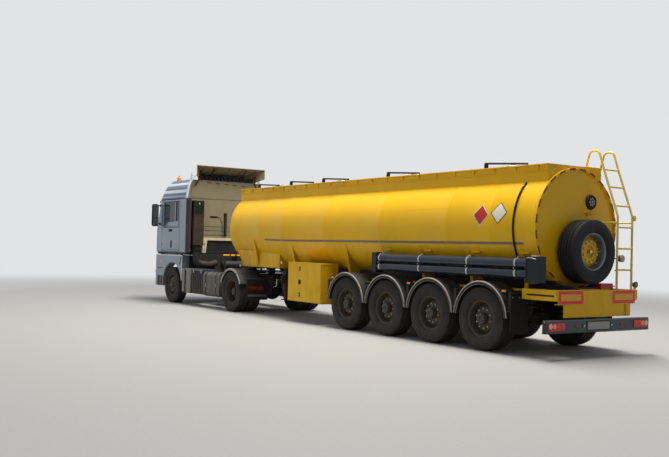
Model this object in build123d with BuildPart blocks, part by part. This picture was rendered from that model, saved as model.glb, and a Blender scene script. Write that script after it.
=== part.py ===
from build123d import *
import math
import os

os.makedirs("parts", exist_ok=True)

# Articulated tank lorry, in millimetres: +X towards the cab, +Y to its left side, +Z up.
# The origin is on the ground, in the middle of its length and width.

# fits between pieces
seat = 0.3  # where curved or sliding faces meet
running_gap = 8  # between a wheel and what stands beside it
panel_gap = 6  # round doors and lids

# stations along the lorry
rear_face_x = -7780
last_axle_x = -6260
trailer_axle_pitch = 1310
trailer_axle_count = 4
kingpin_x = 3305
drive_axle_x = 2705
wheelbase = 3600
nose_x = 7780
front_axle_x = drive_axle_x + wheelbase
trailer_axles_x = [last_axle_x + trailer_axle_pitch * i for i in range(trailer_axle_count)]

# wheels
track_face_y = 1230  # outer face of every outer tyre
rim_radius = 286
trailer_tyre_radius = 535
trailer_tyre_width = 385
tractor_tyre_radius = 507
tractor_tyre_width = 300
twin_pitch = 340
spindle_radius = 40
hub_radius = 105
hub_cap = 24
drive_hub_out = 60
front_hub_out = 150

# tank
tank_radius = 1000
tank_axis_z = 2090
tank_rear_x = -7260
rear_lip = 35
rear_bulge = 50
cone_start_x = 700
front_rim_x = 3290
front_radius = 965
front_dish = 230
front_knuckle = 60
gusset_thickness = 14
gusset_x = [2080, 320, -1880, -4295, -5605, -6900]
side_rail_y = 783
side_rail_rear_x = -6960
side_rail_front_x = -1480
side_rail_z = 1065
side_rail_height = 40
side_rail_thickness = 25
skirt_y = 780
skirt_thickness = 12
skirt_x = (1040, 2930)

# manholes along the top of the tank
manhole_x = [2300, -400, -3100, -5800]
collar_radius = 255
collar_top_z = 3160
lid_radius = 272
lid_thickness = 26
hinge_pin_radius = 8
handrail_x = [2440, 900, -500, -2880, -5710]

# spill walls and walkway on the tank's top
coaming_y = 650
coaming_top_z = 3130
coaming_wall = 12
coaming_rear_x = -7200
walkway_inner_y = 300
walkway_z = 3075

# trailer frame
coupling_z = 1120
coupler_thickness = 20
rail_y = 470
rail_bottom_z = 930
rail_top_z = 1130
rail_flange = 110
web_thickness = 14
flange_thickness = 16
rail_rear_x = -7630
neck_start_x = 1150
neck_end_x = 1500
kingpin_radius = 25.4
kingpin_length = 84

# rear end of the trailer
light_bar_half_width = 1250
light_bar_z = 410
light_bar_height = 210
beam_face_x = -7717
beam_z = 853
beam_height = 228
beam_half_width = 940

# tractor frame
frame_y = 390
frame_top_z = 935
frame_height = 240
frame_flange = 75
frame_web = 10
frame_rear_x = 1960
frame_front_x = 7500

# towing eye behind the bumper
tow_eye_y = 300
tow_eye_z = 600
tow_eye_radius = 21

# cab
cab_rear_x = 5440
cab_wall = 60
door_thickness = 50
door_rear_x = 5870
door_front_x = 7090
door_bottom_z = 1450
door_top_z = 2935
tilt_x = 7570
tilt_z = 1020
tilt_pin_radius = 20
tilt_arm_y = 350
# level z, nose x, half width, corner radius
cab_levels = [
    (1430, 7690, 1220, 240),
    (2060, 7700, 1220, 240),
    (2950, 7470, 1220, 280),
    (3300, 7230, 1160, 280),
    (3480, 6950, 1090, 280),
]
nose_crown = 45


def block(x0, x1, y0, y1, z0, z1, mode=Mode.ADD):
    """Rectangular block between two corners."""
    with Locations(((x0 + x1) / 2, (y0 + y1) / 2, (z0 + z1) / 2)):
        Box(x1 - x0, y1 - y0, z1 - z0, mode=mode)


def rod(x, z, y0, y1, radius, mode=Mode.ADD):
    """Round bar across the lorry."""
    with Locations((x, (y0 + y1) / 2, z)):
        Cylinder(radius, abs(y1 - y0), rotation=(90, 0, 0), mode=mode)


def cap_height(depth, radius):
    """Height of a spherical cap halfway out, below its top."""
    ball = (radius * radius + depth * depth) / (2 * depth)
    return ball - math.sqrt(ball * ball - radius * radius / 4)


def tank_form(gap):
    """Drum, eccentric front cone and dished front end of the tank, grown by gap."""
    front_axis_z = tank_axis_z + tank_radius - front_radius
    lip_radius = tank_radius - rear_lip
    head_x = tank_rear_x + rear_lip - gap
    rim_x = front_rim_x
    rim_r = front_radius + gap
    dish_x = rim_x + front_dish + gap
    knuckle_x = rim_x + front_knuckle + gap
    cap_r = rim_r - front_knuckle
    with BuildPart() as form:
        with BuildSketch(Plane.XZ):
            with BuildLine():
                ThreePointArc(
                    (head_x - rear_bulge, tank_axis_z),
                    (head_x - rear_bulge + cap_height(rear_bulge, lip_radius), tank_axis_z + lip_radius / 2),
                    (head_x, tank_axis_z + lip_radius),
                )
                Polyline(
                    (head_x, tank_axis_z + lip_radius),
                    (tank_rear_x - gap, tank_axis_z + lip_radius),
                    (tank_rear_x - gap, tank_axis_z + tank_radius + gap),
                    (cone_start_x, tank_axis_z + tank_radius + gap),
                    (cone_start_x, tank_axis_z),
                    (head_x - rear_bulge, tank_axis_z),
                )
            make_face()
        revolve(axis=Axis((0, 0, tank_axis_z), (1, 0, 0)))
        with BuildSketch(Plane.YZ.offset(cone_start_x)):
            with Locations((0, tank_axis_z)):
                Circle(tank_radius + gap)
        with BuildSketch(Plane.YZ.offset(rim_x)):
            with Locations((0, front_axis_z)):
                Circle(rim_r)
        loft()
        with BuildSketch(Plane.XZ):
            with BuildLine():
                Line((rim_x, front_axis_z), (rim_x, front_axis_z + rim_r))
                ThreePointArc(
                    (rim_x, front_axis_z + rim_r),
                    (rim_x + 0.707 * (knuckle_x - rim_x), front_axis_z + rim_r - 0.293 * front_knuckle),
                    (knuckle_x, front_axis_z + cap_r),
                )
                ThreePointArc(
                    (knuckle_x, front_axis_z + cap_r),
                    (dish_x - cap_height(dish_x - knuckle_x, cap_r), front_axis_z + cap_r / 2),
                    (dish_x, front_axis_z),
                )
                Line((dish_x, front_axis_z), (rim_x, front_axis_z))
            make_face()
        revolve(axis=Axis((0, 0, front_axis_z), (1, 0, 0)))
    return form.part


def tyre(x, y, z, radius, width):
    """Tyre with rounded shoulders and straight beads, its axle along Y through (x, y, z)."""
    bead = rim_radius + 4
    bead_half = 0.36 * width
    wall_top = radius - 40
    with BuildPart() as ring:
        with BuildSketch(Plane((x, y, z))):
            with BuildLine():
                Polyline((bead + 22, -bead_half), (bead, -bead_half), (bead, bead_half), (bead + 22, bead_half))
                ThreePointArc((bead + 22, bead_half), ((bead + wall_top) / 2 + 10, width / 2), (wall_top, 0.455 * width))
                ThreePointArc((wall_top, 0.455 * width), (radius - 9, 0.43 * width), (radius, 0.38 * width))
                Line((radius, 0.38 * width), (radius, -0.38 * width))
                ThreePointArc((radius, -0.38 * width), (radius - 9, -0.43 * width), (wall_top, -0.455 * width))
                ThreePointArc((wall_top, -0.455 * width), ((bead + wall_top) / 2 + 10, -width / 2), (bead + 22, -bead_half))
            make_face()
        revolve(axis=Axis((x, y, z), (0, 1, 0)))
    return ring.part


def rim(x, y, z, width, side, disc_offset, hub_in, hub_out):
    """Rim, dished disc and hub with a blind bore; side is +1 where the outside faces left."""
    barrel = rim_radius + 4 - seat
    inner = barrel - 14
    half = 0.36 * width
    flange = barrel + 18
    with BuildPart() as wheel_rim:
        with BuildSketch(Plane((x, y, z))):
            with BuildLine():
                Polyline(
                    (inner, -half - 12), (flange, -half - 12), (flange, -half - seat), (barrel, -half - seat),
                    (barrel, half + seat), (flange, half + seat), (flange, half + 12), (inner, half + 12),
                    close=True,
                )
            make_face()
            with BuildLine():
                Polyline(
                    (spindle_radius + seat, side * hub_in), (hub_radius, side * hub_in),
                    (hub_radius, side * (disc_offset - 14)), (190, side * (disc_offset - 14)),
                    (inner + 4, side * (disc_offset - 64)), (inner + 4, side * (disc_offset - 50)),
                    (190, side * disc_offset), (hub_radius, side * disc_offset),
                    (hub_radius - 12, side * hub_out), (0, side * hub_out),
                    (0, side * (hub_out - hub_cap)), (spindle_radius + seat, side * (hub_out - hub_cap)),
                    close=True,
                )
            make_face()
        revolve(axis=Axis((x, y, z), (0, 1, 0)))
    return wheel_rim.part


def arch(x, z, radius, thickness, y0, y1, start, end):
    """Curved guard over a wheel, from angle start to end seen from the left, 0 at the rear."""
    outer = radius + thickness
    first = math.radians(180 - start)
    last = math.radians(180 - end)
    middle = (first + last) / 2
    with BuildPart() as guard:
        with BuildSketch(Plane.XZ.offset(-y1)):
            with BuildLine():
                ThreePointArc(
                    (x + radius * math.cos(first), z + radius * math.sin(first)),
                    (x + radius * math.cos(middle), z + radius * math.sin(middle)),
                    (x + radius * math.cos(last), z + radius * math.sin(last)),
                )
                Line(
                    (x + radius * math.cos(last), z + radius * math.sin(last)),
                    (x + outer * math.cos(last), z + outer * math.sin(last)),
                )
                ThreePointArc(
                    (x + outer * math.cos(last), z + outer * math.sin(last)),
                    (x + outer * math.cos(middle), z + outer * math.sin(middle)),
                    (x + outer * math.cos(first), z + outer * math.sin(first)),
                )
                Line(
                    (x + outer * math.cos(first), z + outer * math.sin(first)),
                    (x + radius * math.cos(first), z + radius * math.sin(first)),
                )
            make_face()
        extrude(amount=y1 - y0)
    return guard.part


def level_at(z):
    """Nose, half width and corner radius of the cab at height z."""
    for low, high in zip(cab_levels, cab_levels[1:]):
        if z <= high[0]:
            share = (z - low[0]) / (high[0] - low[0])
            return [a + (b - a) * share for a, b in zip(low[1:], high[1:])]
    return list(cab_levels[-1][1:])


def cab_form(inset, rear_inset):
    """Outer form of the cab with its front, sides, floor and roof moved in by inset."""
    heights = [level[0] for level in cab_levels]
    heights[0] += inset
    heights[-1] -= inset
    with BuildPart() as form:
        for z in heights:
            nose, half, corner = level_at(z)
            nose -= inset
            half -= inset
            rear = cab_rear_x + rear_inset
            shoulder_x = nose - nose_crown - corner
            bend = corner * (1 - math.sqrt(0.5))
            with BuildSketch(Plane.XY.offset(z)):
                with BuildLine():
                    Polyline((shoulder_x, half), (rear, half), (rear, -half), (shoulder_x, -half))
                    ThreePointArc(
                        (shoulder_x, -half),
                        (nose - nose_crown - bend, -half + bend),
                        (nose - nose_crown, -half + corner),
                    )
                    ThreePointArc((nose - nose_crown, -half + corner), (nose, 0), (nose - nose_crown, half - corner))
                    ThreePointArc(
                        (nose - nose_crown, half - corner),
                        (nose - nose_crown - bend, half - bend),
                        (shoulder_x, half),
                    )
                make_face()
        loft(ruled=True)
    return form.part


tank_body = tank_form(0)
tank_cutter = tank_form(seat)

# tank with its gussets, front skirts, side rails and manhole collars
foot_z = rail_top_z + flange_thickness + seat
with BuildPart() as tank:
    add(tank_body)
    for x in gusset_x:
        foot = [
            (side_rail_y - 40, foot_z), (side_rail_y - 40, side_rail_z - side_rail_height / 2),
            (side_rail_y, side_rail_z - side_rail_height / 2), (side_rail_y, rail_top_z + 30),
        ]
        if x > side_rail_front_x:
            foot = [(side_rail_y, foot_z)]
        outline = [
            (rail_y + rail_flange / 2 + seat, foot_z), *foot,
            (0.93 * tank_radius, tank_axis_z - 0.28 * tank_radius),
            (0.6 * tank_radius, tank_axis_z - 0.6 * tank_radius),
        ]
        for side in (1, -1):
            with BuildSketch(Plane.YZ.offset(x - gusset_thickness / 2)):
                with BuildLine():
                    Polyline(*[(side * y, z) for y, z in outline], close=True)
                make_face()
            extrude(amount=gusset_thickness)
    # skirts under the tank's front, each with a sloping plate inwards to the frame rail
    for side in (1, -1):
        with BuildSketch(Plane.XZ.offset(-side * skirt_y - skirt_thickness / 2)):
            with BuildLine():
                Polyline(
                    (skirt_x[0], foot_z), (skirt_x[1], foot_z), (skirt_x[1], 1300),
                    (skirt_x[1] + 230, 1600), (skirt_x[0], 1600), close=True,
                )
            make_face()
        extrude(amount=skirt_thickness)
        y0, y1 = sorted((side * (rail_y + rail_flange / 2 + 5), side * skirt_y))
        with BuildSketch(Plane.XZ.offset(-y1)):
            with BuildLine():
                Polyline(
                    (skirt_x[1] - 12, foot_z), (skirt_x[1], foot_z), (skirt_x[1], 1300),
                    (skirt_x[1] + 230, 1600), (skirt_x[1] + 215, 1600), (skirt_x[1] - 12, 1304), close=True,
                )
            make_face()
        extrude(amount=y1 - y0)
    for x in manhole_x:
        with Locations((x, 0, (tank_axis_z + 0.9 * tank_radius + collar_top_z) / 2)):
            Cylinder(collar_radius, collar_top_z - tank_axis_z - 0.9 * tank_radius)
    for side in (1, -1):
        block(
            side_rail_rear_x, side_rail_front_x,
            side * side_rail_y - side_rail_thickness / 2, side * side_rail_y + side_rail_thickness / 2,
            side_rail_z - side_rail_height, side_rail_z,
        )
tank.part.label = "tank"
export_step(tank.part, "parts/tank.step")

# spill walls with the walkway between them
with BuildPart() as coaming:
    for side in (1, -1):
        block(
            coaming_rear_x, front_rim_x,
            side * coaming_y - coaming_wall / 2, side * coaming_y + coaming_wall / 2,
            tank_axis_z + 0.7 * tank_radius, coaming_top_z,
        )
        lip_y = side * (coaming_y + 12)
        block(coaming_rear_x, front_rim_x, lip_y - 18, lip_y + 18, coaming_top_z - 10, coaming_top_z)
        block(coaming_rear_x, front_rim_x, lip_y - 12, lip_y + 12, coaming_top_z - 130, coaming_top_z - 115)
        deck_y = side * (walkway_inner_y + coaming_y) / 2
        deck_half = (coaming_y - walkway_inner_y) / 2
        block(coaming_rear_x, front_rim_x, deck_y - deck_half, deck_y + deck_half, walkway_z - 20, walkway_z)
    for x in (coaming_rear_x, front_rim_x - coaming_wall):
        block(
            x, x + coaming_wall, -coaming_y, coaming_y,
            tank_axis_z + 0.7 * tank_radius, coaming_top_z,
        )
    add(tank_cutter, mode=Mode.SUBTRACT)
coaming.part.label = "coaming"
export_step(coaming.part, "parts/coaming.step")

# hinged manhole lids, with the pin lug on the rear side
hinge_x = -lid_radius - 22
hinge_z = collar_top_z + 20
for number, x in enumerate(manhole_x, start=1):
    with BuildPart() as manhole_lid:
        with Locations((x, 0, collar_top_z + seat + lid_thickness / 2)):
            Cylinder(lid_radius, lid_thickness)
        with Locations((x, 0, collar_top_z + seat + lid_thickness + 16)):
            Cylinder(0.55 * lid_radius, 32)
        chamfer(manhole_lid.edges().filter_by(GeomType.CIRCLE).group_by(Axis.Z)[-1], 12)
        block(x + hinge_x, x - 0.9 * lid_radius, -40, 40, collar_top_z + 6, collar_top_z + 26)
        rod(x + hinge_x, hinge_z, -40, 40, 18)
        rod(x + hinge_x, hinge_z, -40, 40, hinge_pin_radius + seat, mode=Mode.SUBTRACT)
        block(x + 0.9 * lid_radius, x + lid_radius + 40, -14, 14, collar_top_z + 6, collar_top_z + 26)
    manhole_lid.part.label = f"manhole_lid_{number}"
    export_step(manhole_lid.part, f"parts/manhole_lid_{number}.step")

# trailer frame: two rails with raised necks, cross-members, coupler plate and kingpin
neck_line = [
    (rail_rear_x, rail_bottom_z), (neck_start_x, rail_bottom_z),
    (neck_end_x, coupling_z), (kingpin_x + 180, coupling_z),
]
with BuildPart() as trailer_frame:
    for side in (1, -1):
        with BuildSketch(Plane.XZ.offset(-side * rail_y - web_thickness / 2)):
            with BuildLine():
                Polyline(
                    *neck_line,
                    (kingpin_x + 180, tank_axis_z - 0.7 * tank_radius),
                    (tank_rear_x + rear_lip, tank_axis_z - 0.7 * tank_radius),
                    (tank_rear_x + rear_lip, rail_top_z),
                    (rail_rear_x, rail_top_z),
                    close=True,
                )
            make_face()
        extrude(amount=web_thickness)
        with BuildSketch(Plane.XZ.offset(-side * rail_y - rail_flange / 2)):
            with BuildLine():
                Polyline(
                    *neck_line,
                    (kingpin_x + 180, coupling_z + flange_thickness),
                    (neck_end_x - 6, coupling_z + flange_thickness),
                    (neck_start_x - 6, rail_bottom_z + flange_thickness),
                    (rail_rear_x, rail_bottom_z + flange_thickness),
                    close=True,
                )
            make_face()
        extrude(amount=rail_flange)
        block(
            rail_rear_x, neck_start_x,
            side * rail_y - rail_flange / 2, side * rail_y + rail_flange / 2,
            rail_top_z, rail_top_z + flange_thickness,
        )
    block(
        neck_end_x + 700, kingpin_x + 230, -rail_y - 60, rail_y + 60,
        coupling_z, coupling_z + coupler_thickness,
    )
    for x in (rail_rear_x + 60, -6900, -5605, -4295, -2985, -1700, -300, 1000, 1900):
        low = rail_bottom_z + 30 if x < neck_start_x else coupling_z + 5
        block(x - 25, x + 25, -rail_y, rail_y, low, rail_top_z - 10 if x < neck_start_x else coupling_z + 60)
    with Locations((kingpin_x, 0, coupling_z - kingpin_length / 2)):
        Cylinder(kingpin_radius, kingpin_length)
    for x in trailer_axles_x:
        for side in (1, -1):
            block(x + 440, x + 560, side * rail_y - 45, side * rail_y + 45, rail_bottom_z - 330, rail_bottom_z)
            block(x + 430, x + 570, side * rail_y - 31, side * rail_y + 31, 590, 740, mode=Mode.SUBTRACT)
    block(neck_end_x, neck_end_x + seat, -700, 700, 900, 1500, mode=Mode.SUBTRACT)
    add(tank_cutter, mode=Mode.SUBTRACT)
trailer_frame.part.label = "trailer_frame"
export_step(trailer_frame.part, "parts/trailer_frame.step")

# trailer axles with trailing arms, air bellows and brake drums
drum_outer_y = track_face_y - trailer_tyre_width - running_gap
trailer_hub_out = 165
trailer_spindle_y = track_face_y - trailer_tyre_width / 2 + trailer_hub_out - hub_cap - 8
with BuildPart() as trailer_axles:
    for x in trailer_axles_x:
        z = trailer_tyre_radius
        rod(x, z, -drum_outer_y, drum_outer_y, 64)
        for side in (1, -1):
            rod(x, z, side * (drum_outer_y - 190), side * drum_outer_y, 205)
            rod(x, z, side * drum_outer_y, side * trailer_spindle_y, spindle_radius)
            with BuildSketch(Plane.XZ.offset(-side * rail_y - 30)):
                with BuildLine():
                    Polyline(
                        (x + 545, 620), (x + 545, 700), (x + 120, 640),
                        (x - 430, 640), (x - 430, 600), (x - 100, 450), (x + 100, 450),
                        close=True,
                    )
                make_face()
            extrude(amount=60)
            with Locations((x - 330, side * rail_y, (640 + rail_bottom_z - seat) / 2)):
                Cylinder(120, rail_bottom_z - seat - 640)
trailer_axles.part.label = "trailer_axles"
export_step(trailer_axles.part, "parts/trailer_axles.step")

# trailer mudguards over each wheel, their support tubes and the rear flaps
guard_radius = 620
guard_inner_y = 815
guard_outer_y = 1245
guard_parts = []
for x in trailer_axles_x:
    for side in (1, -1):
        y0, y1 = sorted((side * guard_inner_y, side * guard_outer_y))
        guard_parts.append(arch(x, trailer_tyre_radius, guard_radius, 8, y0, y1, 14, 166))
with BuildPart() as trailer_mudguards:
    for guard in guard_parts:
        add(guard)
    for x in [trailer_axles_x[0] - trailer_axle_pitch / 2] + [a + trailer_axle_pitch / 2 for a in trailer_axles_x]:
        for side in (1, -1):
            rod(x, 990, side * (rail_y + web_thickness / 2 + seat), side * (guard_outer_y - 40), 21)
            for dy in (guard_inner_y + 60, guard_outer_y - 60):
                block(x - 66, x + 66, side * dy - 5, side * dy + 5, 705, 985)
            y0, y1 = sorted((side * guard_inner_y, side * guard_outer_y))
            block(x - 66, x + 66, y0, y1, 680, 712)
    for side in (1, -1):
        flap_x = trailer_axles_x[0] - trailer_axle_pitch / 2 - 60
        y0, y1 = sorted((side * (guard_inner_y + 10), side * guard_outer_y))
        block(flap_x - 12, flap_x, y0, y1, 330, 960)
trailer_mudguards.part.label = "trailer_mudguards"
export_step(trailer_mudguards.part, "parts/trailer_mudguards.step")

# trailer wheels
for side_name, side in (("left", 1), ("right", -1)):
    for number, x in enumerate(trailer_axles_x, start=1):
        middle_y = side * (track_face_y - trailer_tyre_width / 2)
        wheel_tyre = tyre(x, middle_y, trailer_tyre_radius, trailer_tyre_radius, trailer_tyre_width)
        wheel_rim = rim(
            x, middle_y, trailer_tyre_radius, trailer_tyre_width, side,
            disc_offset=70, hub_in=-trailer_tyre_width / 2, hub_out=trailer_hub_out,
        )
        with BuildPart() as trailer_wheel:
            add(wheel_tyre)
            add(wheel_rim)
        trailer_wheel.part.label = f"trailer_wheel_{side_name}_{number}"
        export_step(trailer_wheel.part, f"parts/trailer_wheel_{side_name}_{number}.step")

# spare wheel on a stub at the rear head
spare_z = 1700
spare_width = trailer_tyre_width - 10
spare_hub_out = 70
spare_inner_x = tank_rear_x + rear_lip - rear_bulge - 6
spare_x = spare_inner_x - spare_width / 2
spare_place = Location((spare_x, 0, spare_z), (0, 0, 90))
spare_tyre = tyre(0, 0, 0, trailer_tyre_radius - 5, spare_width)
spare_rim = rim(0, 0, 0, spare_width, 1, disc_offset=60, hub_in=-10, hub_out=spare_hub_out)
stub_x = (spare_x - spare_hub_out + 30, tank_rear_x + rear_lip)
with BuildPart() as spare_wheel:
    add(spare_tyre.moved(spare_place))
    add(spare_rim.moved(spare_place))
    with Locations(Location(((stub_x[0] + stub_x[1]) / 2, 0, spare_z), (0, 90, 0))):
        Cylinder(spindle_radius, stub_x[1] - stub_x[0])
    add(tank_cutter, mode=Mode.SUBTRACT)
spare_wheel.part.label = "spare_wheel"
export_step(spare_wheel.part, "parts/spare_wheel.step")

# rear beam, lower panel and side beams
with BuildPart() as rear_beam:
    block(beam_face_x, beam_face_x + 12, -beam_half_width, beam_half_width, beam_z, beam_z + beam_height)
    for z in (beam_z, beam_z + beam_height - 10):
        block(beam_face_x, rail_rear_x - seat, -beam_half_width, beam_half_width, z, z + 10)
    block(beam_face_x, beam_face_x + 8, -820, 820, beam_z - 203, beam_z)
    for side in (1, -1):
        y0, y1 = sorted((side * beam_half_width, side * (beam_half_width + 60)))
        block(beam_face_x, -7000, y0, y1, 910, beam_z + beam_height)
        y0, y1 = sorted((side * (rail_y + web_thickness / 2 + seat), side * (beam_half_width + 10)))
        block(-7060, -7000, y0, y1, 1010, 1070)
rear_beam.part.label = "rear_beam"
export_step(rear_beam.part, "parts/rear_beam.step")

# underrun light bar hung from the frame rails
light_face_x = rear_face_x + 15
with BuildPart() as light_bar:
    block(
        light_face_x, light_face_x + 90, -light_bar_half_width, light_bar_half_width,
        light_bar_z, light_bar_z + light_bar_height,
    )
    block(
        light_face_x + 12, light_face_x + 91, -light_bar_half_width, light_bar_half_width,
        light_bar_z + 12, light_bar_z + light_bar_height - 12, mode=Mode.SUBTRACT,
    )
    for side in (1, -1):
        block(light_face_x + 12, -7560, side * rail_y - 40, side * rail_y + 40, 500, 560)
        block(-7600, -7560, side * rail_y - 40, side * rail_y + 40, 500, rail_bottom_z - seat)
light_bar.part.label = "light_bar"
export_step(light_bar.part, "parts/light_bar.step")

with BuildPart() as rear_lamps:
    for side in (1, -1):
        with BuildSketch(Plane.YZ.offset(rear_face_x)):
            with Locations((side * 1035, light_bar_z + 110)):
                RectangleRounded(390, 130, 20)
        extrude(amount=light_face_x - rear_face_x)
rear_lamps.part.label = "rear_lamps"
export_step(rear_lamps.part, "parts/rear_lamps.step")

# ladder of bent tube up the rear head, with grab hoops over the top
tube_radius = 19
ladder_ys = (-530, -910)
ladder_foot_x = -6984
ladder_foot_z = coaming_top_z + 32
with BuildPart() as ladder:
    for y in ladder_ys:
        with BuildLine() as rail_path:
            FilletPolyline(
                (-7660, y, beam_z + beam_height + seat), (-7660, y, 2310), (-7360, y, 3110),
                (-7250, y, 3430), (-7060, y, 3430), (ladder_foot_x, y, ladder_foot_z),
                radius=70,
            )
        with BuildSketch(Plane(rail_path.line @ 0, z_dir=rail_path.line % 0)):
            Circle(tube_radius)
        sweep()
    for x, z in ((-7660, 1410), (-7660, 1765), (-7660, 2120), (-7596, 2480), (-7476, 2800), (-7364, 3100)):
        rod(x, z, ladder_ys[0], ladder_ys[1], 14)
    rod(ladder_foot_x, ladder_foot_z, ladder_ys[0], ladder_ys[1], 14)
    block(
        ladder_foot_x - 25, ladder_foot_x + 25, -coaming_y - 20, -coaming_y + 20,
        coaming_top_z + seat, ladder_foot_z,
    )
    for y in ladder_ys:
        for z in (1400, 2200):
            x1 = tank_rear_x + rear_lip + 20
            if z < 1500:
                x1 = rail_rear_x + 10
            with Locations(Location(((-7660 + x1) / 2, y, z), (0, 90, 0))):
                Cylinder(12, x1 + 7660)
    add(tank_cutter, mode=Mode.SUBTRACT)
ladder.part.label = "ladder"
export_step(ladder.part, "parts/ladder.step")

# hose tubes on the left flank, with clamp bands and arms to the tank
tube_y = 1070
hose_radius = 83
hose_rear_x = -7220
hose_front_x = -3260
with BuildPart() as hose_tubes:
    for z in (1322, 1492):
        with Locations(Location(((hose_rear_x + hose_front_x) / 2, tube_y, z), (0, 90, 0))):
            Cylinder(hose_radius, hose_front_x - hose_rear_x)
    block(hose_rear_x - 260, hose_rear_x, 985, 1155, 1190, 1600)
    block(hose_front_x, hose_front_x + 140, 985, 1155, 1215, 1595)
    for x in (-3340, -4540, -5830, -6960):
        block(x - 22, x + 22, 975, 1165, 1228, 1588)
        block(x - 30, x + 30, 600, 1000, 1330, 1480)
    add(tank_cutter, mode=Mode.SUBTRACT)
hose_tubes.part.label = "hose_tubes"
export_step(hose_tubes.part, "parts/hose_tubes.step")

# drain hose down the left flank, in front of the rear rim
drain_x = -6765
drain_radius = 16
with BuildPart() as drain_hose:
    with BuildLine() as drain_path:
        ThreePointArc(*[
            (
                drain_x,
                (tank_radius + drain_radius + seat) * math.sin(math.radians(angle)),
                tank_axis_z + (tank_radius + drain_radius + seat) * math.cos(math.radians(angle)),
            )
            for angle in (43, 85, 127)
        ])
    with BuildSketch(Plane(drain_path.line @ 0, z_dir=drain_path.line % 0)):
        Circle(drain_radius)
    sweep()
drain_hose.part.label = "drain_hose"
export_step(drain_hose.part, "parts/drain_hose.step")

# lid hinge brackets on the collars' rear sides, and the folded handrail posts on the left wall
post_y = coaming_y - 33
with BuildPart() as roof_fittings:
    for x in manhole_x:
        for side in (1, -1):
            block(
                x + hinge_x - 18, x - collar_radius - seat, side * 52 - 8, side * 52 + 8,
                collar_top_z - 50, collar_top_z - 6,
            )
            block(
                x + hinge_x - 18, x + hinge_x + 14, side * 52 - 8, side * 52 + 8,
                collar_top_z - 50, hinge_z + 18,
            )
        rod(x + hinge_x, hinge_z, -60, 60, hinge_pin_radius)
    for x in handrail_x:
        with BuildLine() as post_path:
            Line((x, post_y, coaming_top_z + 90), (x - 1000, post_y, coaming_top_z + 25))
        with BuildSketch(Plane(post_path.line @ 0, z_dir=post_path.line % 0)):
            Circle(16)
        sweep()
        block(
            x - 30, x + 10, coaming_y - 60, coaming_y - coaming_wall / 2 - seat,
            walkway_z + seat, coaming_top_z + 100,
        )
roof_fittings.part.label = "roof_fittings"
export_step(roof_fittings.part, "parts/roof_fittings.step")

# hollow side cabinets under the tank, each open to its outer door
cabinet_rear_x = -1379
cabinet_front_x = -37
cabinet_z0 = 460
cabinet_z1 = 1315
cabinet_inner_y = 750
cabinet_outer_y = 1200
cabinet_wall = 20
cabinet_door = 20
knuckle_radius = 8
with BuildPart() as side_cabinets:
    for side in (1, -1):
        y0, y1 = sorted((side * cabinet_inner_y, side * (cabinet_outer_y - cabinet_door)))
        block(cabinet_rear_x, cabinet_front_x, y0, y1, cabinet_z0, cabinet_z1)
        inner_y = side * (cabinet_inner_y + cabinet_wall)
        y0, y1 = sorted((inner_y, side * cabinet_outer_y))
        block(
            cabinet_rear_x + cabinet_wall, cabinet_front_x - cabinet_wall, y0, y1,
            cabinet_z0 + cabinet_wall, cabinet_z1 - cabinet_wall, mode=Mode.SUBTRACT,
        )
        for x in (cabinet_rear_x + 200, cabinet_front_x - 260):
            y0, y1 = sorted((side * (rail_y + web_thickness / 2 + seat), side * cabinet_inner_y))
            block(x, x + 60, y0, y1, rail_bottom_z + flange_thickness + 10, rail_top_z - 10)
    add(tank_cutter, mode=Mode.SUBTRACT)
side_cabinets.part.label = "side_cabinets"
export_step(side_cabinets.part, "parts/side_cabinets.step")

for side_name, side in (("left", 1), ("right", -1)):
    with BuildPart() as cabinet_door_part:
        y0, y1 = sorted((side * (cabinet_outer_y - cabinet_door + seat), side * cabinet_outer_y))
        block(cabinet_rear_x + 5, cabinet_front_x, y0, y1, cabinet_z0, cabinet_z1)
        with Locations(Location((-528, side * (cabinet_outer_y + 8), 890), (90, 0, 0))):
            Cylinder(45, 16)
        with Locations(*[(cabinet_rear_x + 3, side * (cabinet_outer_y + 3), z) for z in (600, 890, 1180)]):
            Cylinder(knuckle_radius, 90)
    cabinet_door_part.part.label = f"cabinet_door_{side_name}"
    export_step(cabinet_door_part.part, f"parts/cabinet_door_{side_name}.step")

# landing legs: fixed sleeves with a cross-shaft, and feet that slide down
leg_x = 965
leg_y = 620
sleeve_z0 = 560
with BuildPart() as landing_legs:
    for side in (1, -1):
        y = side * leg_y
        block(leg_x - 65, leg_x + 65, y - 65, y + 65, sleeve_z0, rail_top_z + flange_thickness)
        block(leg_x - 51, leg_x + 51, y - 51, y + 51, sleeve_z0 - 1, rail_top_z - 20, mode=Mode.SUBTRACT)
        y0, y1 = sorted((side * (rail_y + web_thickness / 2 + seat), side * (leg_y - 65)))
        block(leg_x - 50, leg_x + 50, y0, y1, rail_bottom_z + flange_thickness + 5, rail_top_z - 5)
    rod(leg_x, rail_bottom_z - 60, -leg_y + 60, leg_y - 60, 14)
    add(tank_cutter, mode=Mode.SUBTRACT)
landing_legs.part.label = "landing_legs"
export_step(landing_legs.part, "parts/landing_legs.step")

with BuildPart() as landing_feet:
    for side in (1, -1):
        y = side * leg_y
        block(leg_x - 51 + seat, leg_x + 51 - seat, y - 51 + seat, y + 51 - seat, 410, 840)
        block(leg_x - 110, leg_x + 110, y - 90, y + 90, 390, 412)
landing_feet.part.label = "landing_feet"
export_step(landing_feet.part, "parts/landing_feet.step")

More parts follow.
